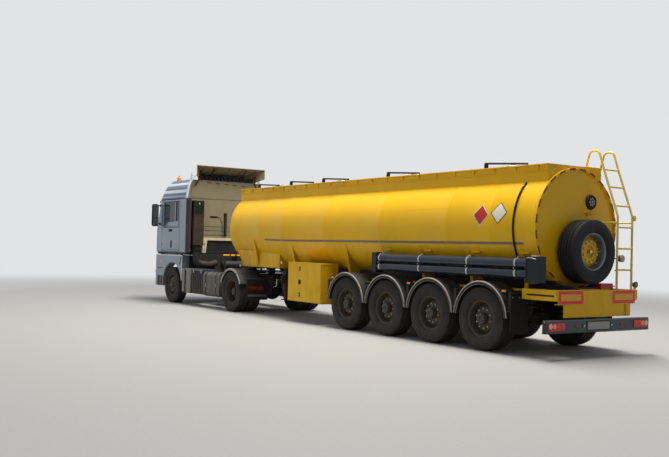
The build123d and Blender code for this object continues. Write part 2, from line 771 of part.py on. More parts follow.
# tractor frame: two channels, cross-members and a rear end beam
with BuildPart() as tractor_frame:
    for side in (1, -1):
        outer_y = side * (frame_y + frame_flange / 2)
        inner_y = side * (frame_y - frame_flange / 2)
        y0, y1 = sorted((outer_y, inner_y))
        block(frame_rear_x, frame_front_x, y0, y1, frame_top_z - frame_height, frame_top_z)
        y0, y1 = sorted((outer_y - side * frame_web, inner_y - side))
        block(
            frame_rear_x - 1, frame_front_x + 1, y0, y1,
            frame_top_z - frame_height + frame_web, frame_top_z - frame_web, mode=Mode.SUBTRACT,
        )
    for x in (frame_rear_x + 30, drive_axle_x - 420, drive_axle_x + 420, 4000, 5200, frame_front_x - 30):
        block(
            x - 30, x + 30, frame_web - frame_y - frame_flange / 2 - 1, frame_y + frame_flange / 2 - frame_web + 1,
            frame_top_z - frame_height + frame_web + 20, frame_top_z - frame_web - 20,
        )
    block(4150, 5300, -frame_y - 30, frame_y + 30, frame_top_z, frame_top_z + 16)
    for side in (1, -1):
        block(5560, 5640, side * frame_y - 35, side * frame_y + 35, frame_top_z - 5, cab_levels[0][0] - seat)
        block(tilt_x - 90, tilt_x + 50, side * frame_y - 10, side * frame_y + 10, frame_top_z - 60, tilt_z + 50)
        block(frame_front_x - 40, tilt_x + 50, side * frame_y - 10, side * frame_y + 10, frame_top_z - 60, frame_top_z)
        rod(tilt_x, tilt_z, side * (frame_y - 75), side * frame_y, tilt_pin_radius)
tractor_frame.part.label = "tractor_frame"
export_step(tractor_frame.part, "parts/tractor_frame.step")

# fifth wheel: notched plate on two pedestals and a mounting plate
plate_thickness = 40
with BuildPart() as fifth_wheel:
    with BuildSketch(Plane.XY.offset(coupling_z - seat - plate_thickness)):
        with Locations((kingpin_x - 60, 0)):
            RectangleRounded(860, 900, 200)
        with Locations((kingpin_x, 0)):
            Circle(kingpin_radius + 1, mode=Mode.SUBTRACT)
        with BuildLine():
            Polyline(
                (kingpin_x, kingpin_radius + 1), (kingpin_x - 220, kingpin_radius + 30), (kingpin_x - 600, 210),
                (kingpin_x - 600, -210), (kingpin_x - 220, -kingpin_radius - 30), (kingpin_x, -kingpin_radius - 1),
                close=True,
            )
        make_face(mode=Mode.SUBTRACT)
    extrude(amount=plate_thickness)
    for side in (1, -1):
        block(
            kingpin_x - 130, kingpin_x + 130, side * 320 - 40, side * 320 + 40,
            frame_top_z + 12, coupling_z - plate_thickness - seat,
        )
    block(kingpin_x - 380, kingpin_x + 380, -frame_y - 20, frame_y + 20, frame_top_z + seat, frame_top_z + 12)
fifth_wheel.part.label = "fifth_wheel"
export_step(fifth_wheel.part, "parts/fifth_wheel.step")

# drive axle: banjo housing, tubes, drums, spindles, carriers and air bellows
twin_inner_y = track_face_y - tractor_tyre_width - twin_pitch
drive_spindle_y = track_face_y - tractor_tyre_width / 2 + drive_hub_out - hub_cap - 8
with BuildPart() as drive_axle:
    z = tractor_tyre_radius
    rod(drive_axle_x, z, -twin_inner_y + running_gap, twin_inner_y - running_gap, 75)
    with Locations((drive_axle_x, 0, z)):
        Sphere(215)
    for side in (1, -1):
        rod(drive_axle_x, z, side * (twin_inner_y - 120), side * (twin_inner_y - running_gap), 200)
        rod(drive_axle_x, z, side * (twin_inner_y - running_gap), side * drive_spindle_y, spindle_radius)
        for dx in (-430, 430):
            x0, x1 = sorted((drive_axle_x, drive_axle_x + dx))
            block(x0, x1, side * frame_y - 35, side * frame_y + 35, 440, 500)
            with Locations((drive_axle_x + dx, side * frame_y, (470 + frame_top_z - frame_height - seat) / 2)):
                Cylinder(110, frame_top_z - frame_height - seat - 470)
drive_axle.part.label = "drive_axle"
export_step(drive_axle.part, "parts/drive_axle.step")

# drive wheels: twin tyres on one hub
for side_name, side in (("left", 1), ("right", -1)):
    outer_y = side * (track_face_y - tractor_tyre_width / 2)
    inner_y = outer_y - side * twin_pitch
    outer_tyre = tyre(drive_axle_x, outer_y, tractor_tyre_radius, tractor_tyre_radius, tractor_tyre_width)
    inner_tyre = tyre(drive_axle_x, inner_y, tractor_tyre_radius, tractor_tyre_radius, tractor_tyre_width)
    twin_rim = rim(
        drive_axle_x, outer_y, tractor_tyre_radius, tractor_tyre_width, side,
        disc_offset=-50, hub_in=-twin_pitch - tractor_tyre_width / 2, hub_out=drive_hub_out,
    )
    inner_half = 0.36 * tractor_tyre_width
    with BuildPart() as drive_wheel:
        add(outer_tyre)
        add(inner_tyre)
        add(twin_rim)
        barrel = rim_radius + 4 - seat
        with BuildSketch(Plane((drive_axle_x, inner_y, tractor_tyre_radius))):
            with BuildLine():
                Polyline(
                    (barrel - 14, -inner_half - 12), (barrel + 18, -inner_half - 12),
                    (barrel + 18, -inner_half - seat), (barrel, -inner_half - seat),
                    (barrel, inner_half + seat), (barrel + 18, inner_half + seat),
                    (barrel + 18, inner_half + 12), (barrel - 14, inner_half + 12),
                    close=True,
                )
            make_face()
            with Locations(((hub_radius + barrel) / 2 - 5, side * (inner_half - 20))):
                Rectangle(barrel - hub_radius, 14)
        revolve(axis=Axis((drive_axle_x, inner_y, tractor_tyre_radius), (0, 1, 0)))
    drive_wheel.part.label = f"drive_wheel_{side_name}"
    export_step(drive_wheel.part, f"parts/drive_wheel_{side_name}.step")

# drive mudguards with support tubes and rear flaps
with BuildPart() as drive_mudguards:
    for side in (1, -1):
        y0, y1 = sorted((side * 575, side * 1240))
        with BuildSketch(Plane.XZ.offset(-y1)):
            with Locations((drive_axle_x, tractor_tyre_radius)):
                Circle(578)
                Circle(570, mode=Mode.SUBTRACT)
            with Locations((drive_axle_x, tractor_tyre_radius - 300)):
                Rectangle(1400, 1000, mode=Mode.SUBTRACT)
        extrude(amount=y1 - y0)
        for x in (drive_axle_x - 545, drive_axle_x + 545):
            rod(x, 725, side * (frame_y + frame_flange / 2 + seat), side * 1200, 18)
        block(1840, 1852, y0 + 10 if side < 0 else y0 + 60, y1 - 60 if side < 0 else y1 - 10, 340, 900)
        rod(1846, 860, side * 380, side * 1230, 18)
        y0, y1 = sorted((side * 365, side * 410))
        block(1828, frame_rear_x - seat, y0, y1, 840, 880)
drive_mudguards.part.label = "drive_mudguards"
export_step(drive_mudguards.part, "parts/drive_mudguards.step")

# fuel tanks and side boxes hung on the tractor frame
with BuildPart() as fuel_tanks:
    for side in (1, -1):
        with BuildSketch(Plane.YZ.offset(3330)):
            with Locations((side * 960, 630)):
                RectangleRounded(520, 640, 110)
        extrude(amount=950)
        for x in (3500, 4080):
            y0, y1 = sorted((side * (frame_y + frame_flange / 2 + seat), side * 720))
            block(x, x + 40, y0, y1, 720, 800)
fuel_tanks.part.label = "fuel_tanks"
export_step(fuel_tanks.part, "parts/fuel_tanks.step")

with BuildPart() as side_boxes:
    for side in (1, -1):
        y0, y1 = sorted((side * 760, side * 1215))
        block(4300, 5610, y0, y1, 330, 1000)
        for x in range(4400, 5600, 110):
            y0, y1 = sorted((side * 1200, side * 1216))
            block(x, x + 40, y0, y1, 370, 960, mode=Mode.SUBTRACT)
        for x in (4500, 5380):
            y0, y1 = sorted((side * (frame_y + frame_flange / 2 + seat), side * 770))
            block(x, x + 40, y0, y1, 720, 800)
side_boxes.part.label = "side_boxes"
export_step(side_boxes.part, "parts/side_boxes.step")

# engine block between the frame rails
with BuildPart() as engine:
    block(5750, 7150, -330, 330, 715, 1340)
    for x in (5900, 6900):
        block(x, x + 100, -frame_y - 20, frame_y + 20, frame_top_z + seat, frame_top_z + 30)
engine.part.label = "engine"
export_step(engine.part, "parts/engine.step")

# front axle: dropped beam, leaf springs and kingpin eyes
steer_y = 850
front_spindle_y = track_face_y - tractor_tyre_width / 2 + front_hub_out - hub_cap - 8
with BuildPart() as front_axle:
    block(front_axle_x - 55, front_axle_x + 55, -640, 640, 400, 470)
    for side in (1, -1):
        y0, y1 = sorted((side * 600, side * 790))
        block(front_axle_x - 50, front_axle_x + 50, y0, y1, 440, 560)
        with Locations((front_axle_x, side * steer_y, tractor_tyre_radius)):
            Cylinder(45, 110)
            Cylinder(18, 240)
        y0, y1 = sorted((side * 780, side * 830))
        block(front_axle_x - 40, front_axle_x + 40, y0, y1, 460, 550)
        with BuildSketch(Plane.XZ.offset(-side * frame_y - 35)):
            with BuildLine():
                ThreePointArc((front_axle_x - 750, 620), (front_axle_x, 485), (front_axle_x + 750, 620))
                Line((front_axle_x + 750, 620), (front_axle_x + 750, 660))
                ThreePointArc((front_axle_x + 750, 660), (front_axle_x, 540), (front_axle_x - 750, 660))
                Line((front_axle_x - 750, 660), (front_axle_x - 750, 620))
            make_face()
        extrude(amount=70)
        block(front_axle_x - 70, front_axle_x + 70, side * frame_y - 45, side * frame_y + 45, 465, 500)
        for dx in (-750, 710):
            block(
                front_axle_x + dx, front_axle_x + dx + 40, side * frame_y - 30, side * frame_y + 30,
                630, frame_top_z - frame_height - seat,
            )
front_axle.part.label = "front_axle"
export_step(front_axle.part, "parts/front_axle.step")

# steering knuckles and front wheels
for side_name, side in (("left", 1), ("right", -1)):
    with BuildPart() as knuckle:
        for z in (tractor_tyre_radius - 90, tractor_tyre_radius + 90):
            with Locations((front_axle_x, side * steer_y, z)):
                Cylinder(42, 50)
                Cylinder(18 + seat, 60, mode=Mode.SUBTRACT)
            y0, y1 = sorted((side * (steer_y + 30), side * (steer_y + 75)))
            block(front_axle_x - 40, front_axle_x + 40, y0, y1, z - 25, z + 25)
        y0, y1 = sorted((side * (steer_y + 52), side * (steer_y + 75)))
        block(front_axle_x - 50, front_axle_x + 50, y0, y1, tractor_tyre_radius - 115, tractor_tyre_radius + 115)
        rod(
            front_axle_x, tractor_tyre_radius,
            side * (steer_y + 75), side * front_spindle_y, spindle_radius,
        )
        y0, y1 = sorted((side * (steer_y - 25), side * (steer_y + 60)))
        block(front_axle_x - 230, front_axle_x - 40, y0, y1, 385, 415)
    knuckle.part.label = f"knuckle_{side_name}"
    export_step(knuckle.part, f"parts/knuckle_{side_name}.step")
    middle_y = side * (track_face_y - tractor_tyre_width / 2)
    wheel_tyre = tyre(front_axle_x, middle_y, tractor_tyre_radius, tractor_tyre_radius, tractor_tyre_width)
    wheel_rim = rim(
        front_axle_x, middle_y, tractor_tyre_radius, tractor_tyre_width, side,
        disc_offset=95, hub_in=-tractor_tyre_width / 2 + 10, hub_out=front_hub_out,
    )
    with BuildPart() as front_wheel:
        add(wheel_tyre)
        add(wheel_rim)
    front_wheel.part.label = f"front_wheel_{side_name}"
    export_step(front_wheel.part, f"parts/front_wheel_{side_name}.step")

# bumper and fenders below the cab, within one plan with rounded corners
plan_half = 1216
plan_corner = 336
plan_crown = 40
corner_x = nose_x - plan_crown - plan_corner
corner_bend = plan_corner * (1 - math.sqrt(0.5))
with BuildPart() as front_plan:
    with BuildSketch(Plane.XY):
        with BuildLine():
            Polyline((corner_x, plan_half), (5000, plan_half), (5000, -plan_half), (corner_x, -plan_half))
            for side in (-1, 1):
                ThreePointArc(
                    (corner_x, side * plan_half),
                    (nose_x - plan_crown - corner_bend, side * (plan_half - corner_bend)),
                    (nose_x - plan_crown, side * (plan_half - plan_corner)),
                )
            ThreePointArc(
                (nose_x - plan_crown, plan_corner - plan_half), (nose_x, 0), (nose_x - plan_crown, plan_half - plan_corner),
            )
        make_face()
    extrude(amount=2000)
bumper_top_z = 890
with BuildPart() as front_bumper:
    block(nose_x - 100, nose_x, -1000, 1000, 420, bumper_top_z)
    block(frame_front_x + seat, nose_x - 95, -frame_y - 40, frame_y + 40, 700, 860)
    block(nose_x - 101, nose_x + 1, tow_eye_y - 90, tow_eye_y + 90, 419, tow_eye_z + 70, mode=Mode.SUBTRACT)
    block(nose_x - 150, nose_x - 32, tow_eye_y - 60, tow_eye_y + 60, tow_eye_z - 30, tow_eye_z + 30)
    block(nose_x - 150, nose_x - 115, tow_eye_y - 60, tow_eye_y + 60, tow_eye_z - 30, 705)
    with Locations((nose_x - 80, tow_eye_y, tow_eye_z)):
        Cylinder(tow_eye_radius, 61, mode=Mode.SUBTRACT)
    add(front_plan.part, mode=Mode.INTERSECT)
front_bumper.part.label = "front_bumper"
export_step(front_bumper.part, "parts/front_bumper.step")

headlamp_depth = 260
with BuildPart() as headlamps:
    for side in (1, -1):
        with BuildSketch(Plane.YZ.offset(nose_x - headlamp_depth)):
            with Locations((side * 1110, 800)):
                RectangleRounded(180, 260, 40)
        extrude(amount=headlamp_depth)
    add(front_plan.part, mode=Mode.INTERSECT)
headlamps.part.label = "headlamps"
export_step(headlamps.part, "parts/headlamps.step")

with BuildPart() as front_fenders:
    for side in (1, -1):
        y0, y1 = sorted((side * 1001, side * 1215))
        with BuildSketch(Plane.XZ.offset(-y1)):
            with BuildLine():
                Polyline(
                    (front_axle_x - 660, 640), (front_axle_x - 660, 1360), (7640, 1360),
                    (7740, 1290), (nose_x, 1100), (nose_x, 450), (front_axle_x + 500, 450),
                    (front_axle_x + 500, 640), close=True,
                )
            make_face()
            with Locations((front_axle_x, tractor_tyre_radius)):
                Circle(632, mode=Mode.SUBTRACT)
        extrude(amount=y1 - y0)
        with BuildSketch(Plane.YZ.offset(nose_x - headlamp_depth - seat)):
            with Locations((side * 1110, 800)):
                RectangleRounded(180 + 2 * seat, 260 + 2 * seat, 40 + seat)
        extrude(amount=headlamp_depth + 10, mode=Mode.SUBTRACT)
        y0, y1 = sorted((side * (frame_y + frame_flange / 2 + seat), side * 1010))
        block(7360, 7420, y0, y1, 760, 820)
        block(front_axle_x - 655, front_axle_x - 640, y0, y1, 720, 900)
    add(front_plan.part, mode=Mode.INTERSECT)
front_fenders.part.label = "front_fenders"
export_step(front_fenders.part, "parts/front_fenders.step")

# cab shell with door, windscreen and quarter openings
cab_outer = cab_form(0, 0)
cab_inner = cab_form(cab_wall, cab_wall)
door_inner_form = cab_form(door_thickness, door_thickness)
glass_outer = cab_form(12, 12)
glass_inner = cab_form(18, 18)
hinge_knuckle_z = (1650, 2100, 2700)
screen_half = 1010
screen_z = (2120, 2900)
with BuildPart() as cab_shell:
    add(cab_outer)
    add(cab_inner, mode=Mode.SUBTRACT)
    for side in (1, -1):
        y0, y1 = sorted((side * (1220 - door_thickness), side * 1300))
        block(door_rear_x, door_front_x, y0, y1, door_bottom_z, door_top_z, mode=Mode.SUBTRACT)
        y0, y1 = sorted((side * 1100, side * 1300))
        block(
            door_rear_x + 30, door_front_x - 30, y0, y1,
            door_bottom_z + 70, door_top_z - 30, mode=Mode.SUBTRACT,
        )
    block(7300, 7800, -screen_half, screen_half, screen_z[0], screen_z[1], mode=Mode.SUBTRACT)
    for side in (1, -1):
        with Locations(*[(door_front_x - 3, side * 1224, z) for z in hinge_knuckle_z]):
            Cylinder(knuckle_radius + 5, 90, mode=Mode.SUBTRACT)
        y = side * tilt_arm_y
        block(tilt_x - 40, tilt_x + 40, y - 25, y + 25, tilt_z, cab_levels[0][0] + 20)
        rod(tilt_x, tilt_z, y - 25, y + 25, 48)
        rod(tilt_x, tilt_z, y - 26, y + 26, tilt_pin_radius + seat, mode=Mode.SUBTRACT)
cab_shell.part.label = "cab_shell"
export_step(cab_shell.part, "parts/cab_shell.step")

with BuildPart() as windscreen:
    block(
        7300, 7800, -screen_half + seat, screen_half - seat,
        screen_z[0] + seat, screen_z[1] - seat,
    )
    add(glass_outer, mode=Mode.INTERSECT)
    add(glass_inner, mode=Mode.SUBTRACT)
windscreen.part.label = "windscreen"
export_step(windscreen.part, "parts/windscreen.step")

# doors with their window openings, and the panes in them
pane_x = ((6210, 6975), (5945, 6150))
pane_z = (2160, 2860)
for side_name, side in (("left", 1), ("right", -1)):
    with BuildPart() as door:
        y0, y1 = sorted((side * (1220 - door_thickness + seat), side * 1300))
        block(
            door_rear_x + panel_gap, door_front_x - panel_gap, y0, y1,
            door_bottom_z + panel_gap, door_top_z - panel_gap,
        )
        add(cab_outer, mode=Mode.INTERSECT)
        for x0, x1 in pane_x:
            y0, y1 = sorted((side * 1100, side * 1300))
            block(x0, x1, y0, y1, pane_z[0], pane_z[1], mode=Mode.SUBTRACT)
        with Locations(*[(door_front_x - 3, side * 1224, z) for z in hinge_knuckle_z]):
            Cylinder(knuckle_radius, 80)
    door.part.label = f"door_{side_name}"
    export_step(door.part, f"parts/door_{side_name}.step")
    with BuildPart() as door_glass:
        y0, y1 = sorted((side * 1193, side * 1199))
        for x0, x1 in pane_x:
            block(x0 + seat, x1 - seat, y0, y1, pane_z[0] + seat, pane_z[1] - seat)
    door_glass.part.label = f"door_glass_{side_name}"
    export_step(door_glass.part, f"parts/door_glass_{side_name}.step")

# grille panel across the nose, seated on it along two pads
cab_seat_form = cab_form(-seat, -seat)
with BuildPart() as grille:
    block(7701, 7738, -960, 960, 1090, 1960)
    for row in range(6):
        z = 1180 + row * 120
        block(7700, 7740, -840, 840, z, z + 60, mode=Mode.SUBTRACT)
    for y in (-420, 0, 420):
        block(7701, 7730, y - 15, y + 15, 1100, 1950)
    for z in (1440, 1925):
        block(7640, 7705, -950, 950, z, z + 32)
    add(cab_seat_form, mode=Mode.SUBTRACT)
grille.part.label = "grille"
export_step(grille.part, "parts/grille.step")

# mirrors on two arms each, and the sun visor over the windscreen
with BuildPart() as mirrors_and_visor:
    for side in (1, -1):
        y0, y1 = sorted((side * 1270, side * 1480))
        block(7210, 7300, y0, y1, 2180, 2820)
        y0, y1 = sorted((side * (1220 + seat), side * 1300))
        for z in (2230, 2770):
            block(7230, 7270, y0, y1, z, z + 30)
        y0, y1 = sorted((side * 1050, side * 1090))
        block(7380, 7500, y0, y1, 2915, 2960)
    block(7480, 7680, -1090, 1090, 2915, 2930)
    add(cab_seat_form, mode=Mode.SUBTRACT)
mirrors_and_visor.part.label = "mirrors_and_visor"
export_step(mirrors_and_visor.part, "parts/mirrors_and_visor.step")

# seats, dashboard, steering wheel and bunk
floor_z = 1430 + cab_wall
with BuildPart() as cab_interior:
    for y in (640, -640):
        block(6200, 6600, y - 180, y + 180, floor_z + seat, 1800)
        block(6150, 6680, y - 250, y + 250, 1800, 1930)
        block(6040, 6170, y - 240, y + 240, 1800, 2600)
    block(7120, 7480, -1060, 1060, 1750, 2080)
    block(7200, 7440, -1000, 1000, floor_z + seat, 1760)
    block(5500 + seat, 5960, -1100, 1100, floor_z + seat, 2000)
    with Locations(Location((7060, 640, 2080), (0, 60, 0))):
        Torus(215, 16)
        Cylinder(60, 30)
        Box(20, 420, 14)
    with Locations(Location((7150, 640, 2028), (0, 60, 0))):
        Cylinder(25, 220)
cab_interior.part.label = "cab_interior"
export_step(cab_interior.part, "parts/cab_interior.step")

# roof deflector: a wedge that narrows towards the front, open to the rear, with two struts
deflector_rear = (5140, 1080, 3870)
deflector_front = (6240, 380, 3500)
deflector_wall = 22
with BuildPart() as roof_deflector:
    for wall, bottom, mode in ((0, 3440, Mode.ADD), (deflector_wall, 3400, Mode.SUBTRACT)):
        for x, half, top in (deflector_rear, deflector_front):
            x += -wall / 20 if x < 6000 else -2 * wall
            with BuildSketch(Plane.YZ.offset(x)):
                with Locations((0, (bottom + top - wall) / 2)):
                    Rectangle(2 * (half - wall), top - wall - bottom)
        loft(ruled=True, mode=mode)
    with BuildSketch(Plane.XZ.offset(-1100)):
        with BuildLine():
            Polyline((5100, 3300), (5440, 3300), (5440, 3481), (5100, 3620), close=True)
        make_face()
    extrude(amount=2200, mode=Mode.SUBTRACT)
    for y in (-500, 500):
        with BuildLine() as strut_path:
            Line((5560, y, 3470), (5200, y, 3840))
        with BuildSketch(Plane(strut_path.line @ 0, z_dir=strut_path.line % 0)):
            Circle(15)
        sweep()
    add(cab_seat_form, mode=Mode.SUBTRACT)
roof_deflector.part.label = "roof_deflector"
export_step(roof_deflector.part, "parts/roof_deflector.step")

with BuildPart() as beacon:
    with Locations((6690, 900, 3540)):
        Cylinder(62, 110)
        Cylinder(30, 240)
    add(cab_seat_form, mode=Mode.SUBTRACT)
beacon.part.label = "beacon"
export_step(beacon.part, "parts/beacon.step")

# air intake duct and the dark side flaps behind the cab
with BuildPart() as air_intake:
    block(5120, cab_rear_x - seat, 830, 1130, 1650, 2880)
    for side in (1, -1):
        y0, y1 = sorted((side * 1190, side * 1215))
        block(5190, cab_rear_x - seat, y0, y1, 1450, 2940)
air_intake.part.label = "air_intake"
export_step(air_intake.part, "parts/air_intake.step")
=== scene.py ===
"""Finishes and detail of an articulated tank lorry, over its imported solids.

+X is forward, +Y left and +Z up, in metres. A build function draws the forms of one group of pieces; Form holds the
points and faces of a piece, and piece() makes a Blender object of it, on the body that carries it.
"""

from math import cos, degrees, exp, pi, radians, sin, sqrt, tan

import bmesh
import bpy
from mathutils import Matrix, Vector


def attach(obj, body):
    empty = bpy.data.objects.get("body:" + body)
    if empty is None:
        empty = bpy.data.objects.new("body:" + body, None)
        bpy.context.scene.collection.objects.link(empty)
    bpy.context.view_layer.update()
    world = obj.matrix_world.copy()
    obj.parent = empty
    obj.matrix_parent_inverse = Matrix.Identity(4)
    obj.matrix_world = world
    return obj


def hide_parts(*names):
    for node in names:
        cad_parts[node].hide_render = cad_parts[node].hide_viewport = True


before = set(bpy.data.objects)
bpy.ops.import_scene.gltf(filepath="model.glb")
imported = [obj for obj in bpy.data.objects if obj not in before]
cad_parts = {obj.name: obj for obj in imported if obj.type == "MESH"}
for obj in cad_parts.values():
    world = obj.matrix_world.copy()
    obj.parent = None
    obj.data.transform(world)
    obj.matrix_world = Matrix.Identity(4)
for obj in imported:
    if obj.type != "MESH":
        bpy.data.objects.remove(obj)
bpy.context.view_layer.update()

bl_info = {
    "name": "Articulated tank lorry",
    "version": (1, 0, 0),
    "blender": (4, 5, 0),
    "location": "3D View > Sidebar > Lorry",
    "description": "Builds the finishes and detail of an articulated tank lorry",
    "category": "Object",
}

# the same stations as in the solids
TRAILER_AXLES = (-6.26, -4.95, -3.64, -2.33)
MANHOLES = (2.3, -0.4, -3.1, -5.8)
GUSSETS = (2.08, 0.32, -1.88, -4.295, -5.605, -6.9)
CONE_START, RIM_X = 0.7, 3.29
TANK_Z, TANK_R, FRONT_R = 2.09, 1.0, 0.965
DRIVE_X, FRONT_X = 2.705, 6.305
CAB_REAR_X = 5.44
TRAILER_TYRE, TRACTOR_TYRE, SPARE_TYRE = (0.535, 0.385), (0.507, 0.3), (0.53, 0.375)  # radius and width
TRAILER_WHEEL_Y, TRACTOR_WHEEL_Y, TWIN_PITCH = 1.0375, 1.08, 0.34
SPARE_X, SPARE_Z = -7.4685, 1.7
TUBE_Y, TUBE_Z = 1.07, (1.322, 1.492)
CAB_LEVELS = ((1.43, 7.69, 1.22, 0.24), (2.06, 7.7, 1.22, 0.24), (2.95, 7.47, 1.22, 0.28), (3.3, 7.23, 1.16, 0.28),
    (3.48, 6.95, 1.09, 0.28),)


def tone(red, green, blue):
    """A screen colour of 0 to 255 as the linear values that shaders take."""
    parts = []
    for value in (red, green, blue):
        value /= 255
        parts.append(value / 12.92 if value <= 0.04045 else ((value + 0.055) / 1.055) ** 2.4)
    return tuple(parts)


# shapes


class Form:
    """The points and faces of one piece, each face with the number of its finish."""

    def __init__(self):
        self.points, self.faces, self.finishes = [], [], []

    def add(self, points, faces, finish=0):
        start = len(self.points)
        self.points += [tuple(p) for p in points]
        self.faces += [[start + i for i in face] for face in faces]
        self.finishes += [finish] * len(faces)

    def block(self, x0, x1, y0, y1, z0, z1, finish=0, side=1):
        """Rectangular block from the low to the high x, y and z; its y are turned over for the side -1."""
        points = [(x, y, z) for x in (x0, x1) for y in sorted((side * y0, side * y1)) for z in (z0, z1)]
        faces = ((0, 1, 3, 2), (4, 6, 7, 5), (0, 4, 5, 1), (2, 3, 7, 6), (0, 2, 6, 4), (1, 5, 7, 3))
        self.add(points, faces, finish)

    def blocks(self, *rows, side=1):
        """Several blocks, each given as for block."""
        for row in rows:
            self.block(*row, side=side)

    def mirror(self, since=0):
        """Builds the faces from the number since on once more, on the other side."""
        faces = self.faces[since:]
        start = min(min(face) for face in faces)
        shift = len(self.points) - start
        self.points += [(x, -y, z) for x, y, z in self.points[start:]]
        self.faces += [[i + shift for i in face] for face in faces]
        self.finishes += self.finishes[since:]

    def plate(self, outline, axis, low, high, finish=0, side=1):
        """Flat outline in the two other axes, given in order, thickened along axis, on either side for the axis y."""
        low, high = sorted((side * low, side * high))

        def place(p, along):
            return {"x": (along, *p), "y": (p[0], along, p[1]), "z": (*p, along)}[axis]
        count = len(outline)
        points = [place(p, low) for p in outline] + [place(p, high) for p in outline]
        faces = [tuple(range(count)), tuple(range(count, 2 * count))]
        faces += [(i, (i + 1) % count, count + (i + 1) % count, count + i) for i in range(count)]
        self.add(points, faces, finish)

    def pad(self, width, height, radius, centre, low, high, finish=0):
        """Plate across X with rounded corners; centre is (y, z)."""
        self.plate(round_box(width, height, radius, centre=centre), "x", low, high, finish)

    def skin(self, rows, finish=0, loop=False, ends=False):
        """Faces between rows of as many points each."""
        width = len(rows[0])
        points = [p for row in rows for p in row]
        last = width if loop else width - 1
        faces = [
            (r * width + i, r * width + (i + 1) % width, (r + 1) * width + (i + 1) % width, (r + 1) * width + i)
            for r in range(len(rows) - 1) for i in range(last)
        ]
        if ends:
            faces += [tuple(range(width)), tuple(range((len(rows) - 1) * width, len(rows) * width))]
        self.add(points, faces, finish)

    def turned(self, profile, centre, axis="y", steps=48, finish=0, shape=None, side=1):
        """Profile of (along, radius) turned about an axis through centre; shape(i, j) changes a radius."""
        rows = []
        for j, (along, radius) in enumerate(profile):
            along, row = side * along, []
            for i in range(steps):
                angle = radians(360 * i / steps)
                reach = radius + (shape(i, j) if shape else 0)
                a, b = reach * cos(angle), reach * sin(angle)
                offset = {"x": (along, a, b), "y": (a, along, b), "z": (a, b, along)}[axis]
                row.append([c + o for c, o in zip(centre, offset)])
            rows.append(row)
        self.skin(rows, finish, loop=True)

    def rod(self, centre, axis, low, high, radius, steps=16, finish=0):
        """Round bar with closed ends; low and high are measured from centre along axis."""
        edge = min(0.002, radius / 5)
        self.turned(((low, 0.0001), (low, radius - edge), (low + edge, radius), (high - edge, radius),
            (high, radius - edge), (high, 0.0001)), centre, axis, steps, finish,)

    def pipe(self, path, radius, steps=12, finish=0):
        """Tube along a path of points, mitred at its bends."""
        path = [Vector(p) for p in path]
        rows, side = [], None
        for i, point in enumerate(path):
            into = (point - path[i - 1]).normalized() if i else None
            out = (path[i + 1] - point).normalized() if i < len(path) - 1 else None
            along = ((into or out) + (out or into)).normalized()
            if side is None:
                side = along.orthogonal().normalized()
            side = (side - along * side.dot(along)).normalized()
            up = along.cross(side)
            stretch = 1 / max(0.5, along.dot(into or out))
            rows.append([
                point + (side * cos(2 * pi * k / steps) + up * sin(2 * pi * k / steps)) * radius * stretch
                for k in range(steps)
            ])
        self.skin(rows, finish, loop=True, ends=True)


def rounded(path, radius, steps=6):
    """The path with its corners rounded by an arc of radius."""
    path = [Vector(p) for p in path]
    out = [path[0]]
    for before, corner, after in zip(path, path[1:], path[2:]):
        a, b = (before - corner).normalized(), (after - corner).normalized()
        half = a.angle(b) / 2
        reach = min(radius / tan(half), (before - corner).length * 0.49, (after - corner).length * 0.49)
        start, end = corner + a * reach, corner + b * reach
        for k in range(steps + 1):
            t = k / steps
            out.append(start * (1 - t) ** 2 + corner * 2 * t * (1 - t) + end * t * t)
    return out + [path[-1]]


def round_box(width, height, radius, steps=5, centre=(0, 0)):
    """Outline of a rectangle with rounded corners."""
    outline = []
    for cx, cy, turn in ((1, 1, 0), (-1, 1, 90), (-1, -1, 180), (1, -1, 270)):
        for k in range(steps + 1):
            angle = radians(turn + 90 * k / steps)
            outline.append((
                centre[0] + cx * (width / 2 - radius) + radius * cos(angle),
                centre[1] + cy * (height / 2 - radius) + radius * sin(angle),
            ))
    return outline


def piece(name, form, body, finishes, bevel=0.0, smooth=35, replaces=(), place=None):
    """A Blender object from a form, riding on a body."""
    mesh = bpy.data.meshes.new(name)
    mesh.from_pydata(form.points, [], form.faces)
    mesh.polygons.foreach_set("material_index", form.finishes)
    work = bmesh.new()
    work.from_mesh(mesh)
    bmesh.ops.remove_doubles(work, verts=work.verts, dist=0.00002)
    bmesh.ops.recalc_face_normals(work, faces=work.faces)
    work.to_mesh(mesh)
    work.free()
    mesh.shade_smooth()
    mesh.set_sharp_from_angle(angle=radians(smooth))
    for finish in finishes:
        mesh.materials.append(bpy.data.materials[finish])
    return show(name, mesh, body, bevel, replaces, place)


def show(name, mesh, body, bevel=0.0, replaces=(), place=None):
    """Puts a mesh in the scene on a body, in place of the CAD nodes that it replaces."""
    thing = bpy.data.objects.new(name, mesh)
    bpy.context.scene.collection.objects.link(thing)
    if place is not None:
        thing.matrix_world = place
    if bevel:
        edge = thing.modifiers.new("edges", "BEVEL")
        edge.width, edge.segments, edge.limit_method = bevel, 2, "ANGLE"
        edge.angle_limit = radians(30)
        edge.harden_normals = True
    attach(thing, body)
    if replaces:
        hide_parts(*replaces)
    return thing


# finishes


def new_group(name, inputs, outputs):
    """A shader group with its ends; inputs gives the sockets' defaults, and an output named Colour is a colour."""
    group = bpy.data.node_groups.new(name, "ShaderNodeTree")
    for title, default in inputs.items():
        kind = "Color" if isinstance(default, tuple) else "Float"
        socket = group.interface.new_socket(title, in_out="INPUT", socket_type="NodeSocket" + kind)
        socket.default_value = default
    for title in outputs:
        kind = "Color" if title == "Colour" else "Float"
        group.interface.new_socket(title, in_out="OUTPUT", socket_type="NodeSocket" + kind)
    return group, group.nodes.new("NodeGroupInput"), group.nodes.new("NodeGroupOutput")


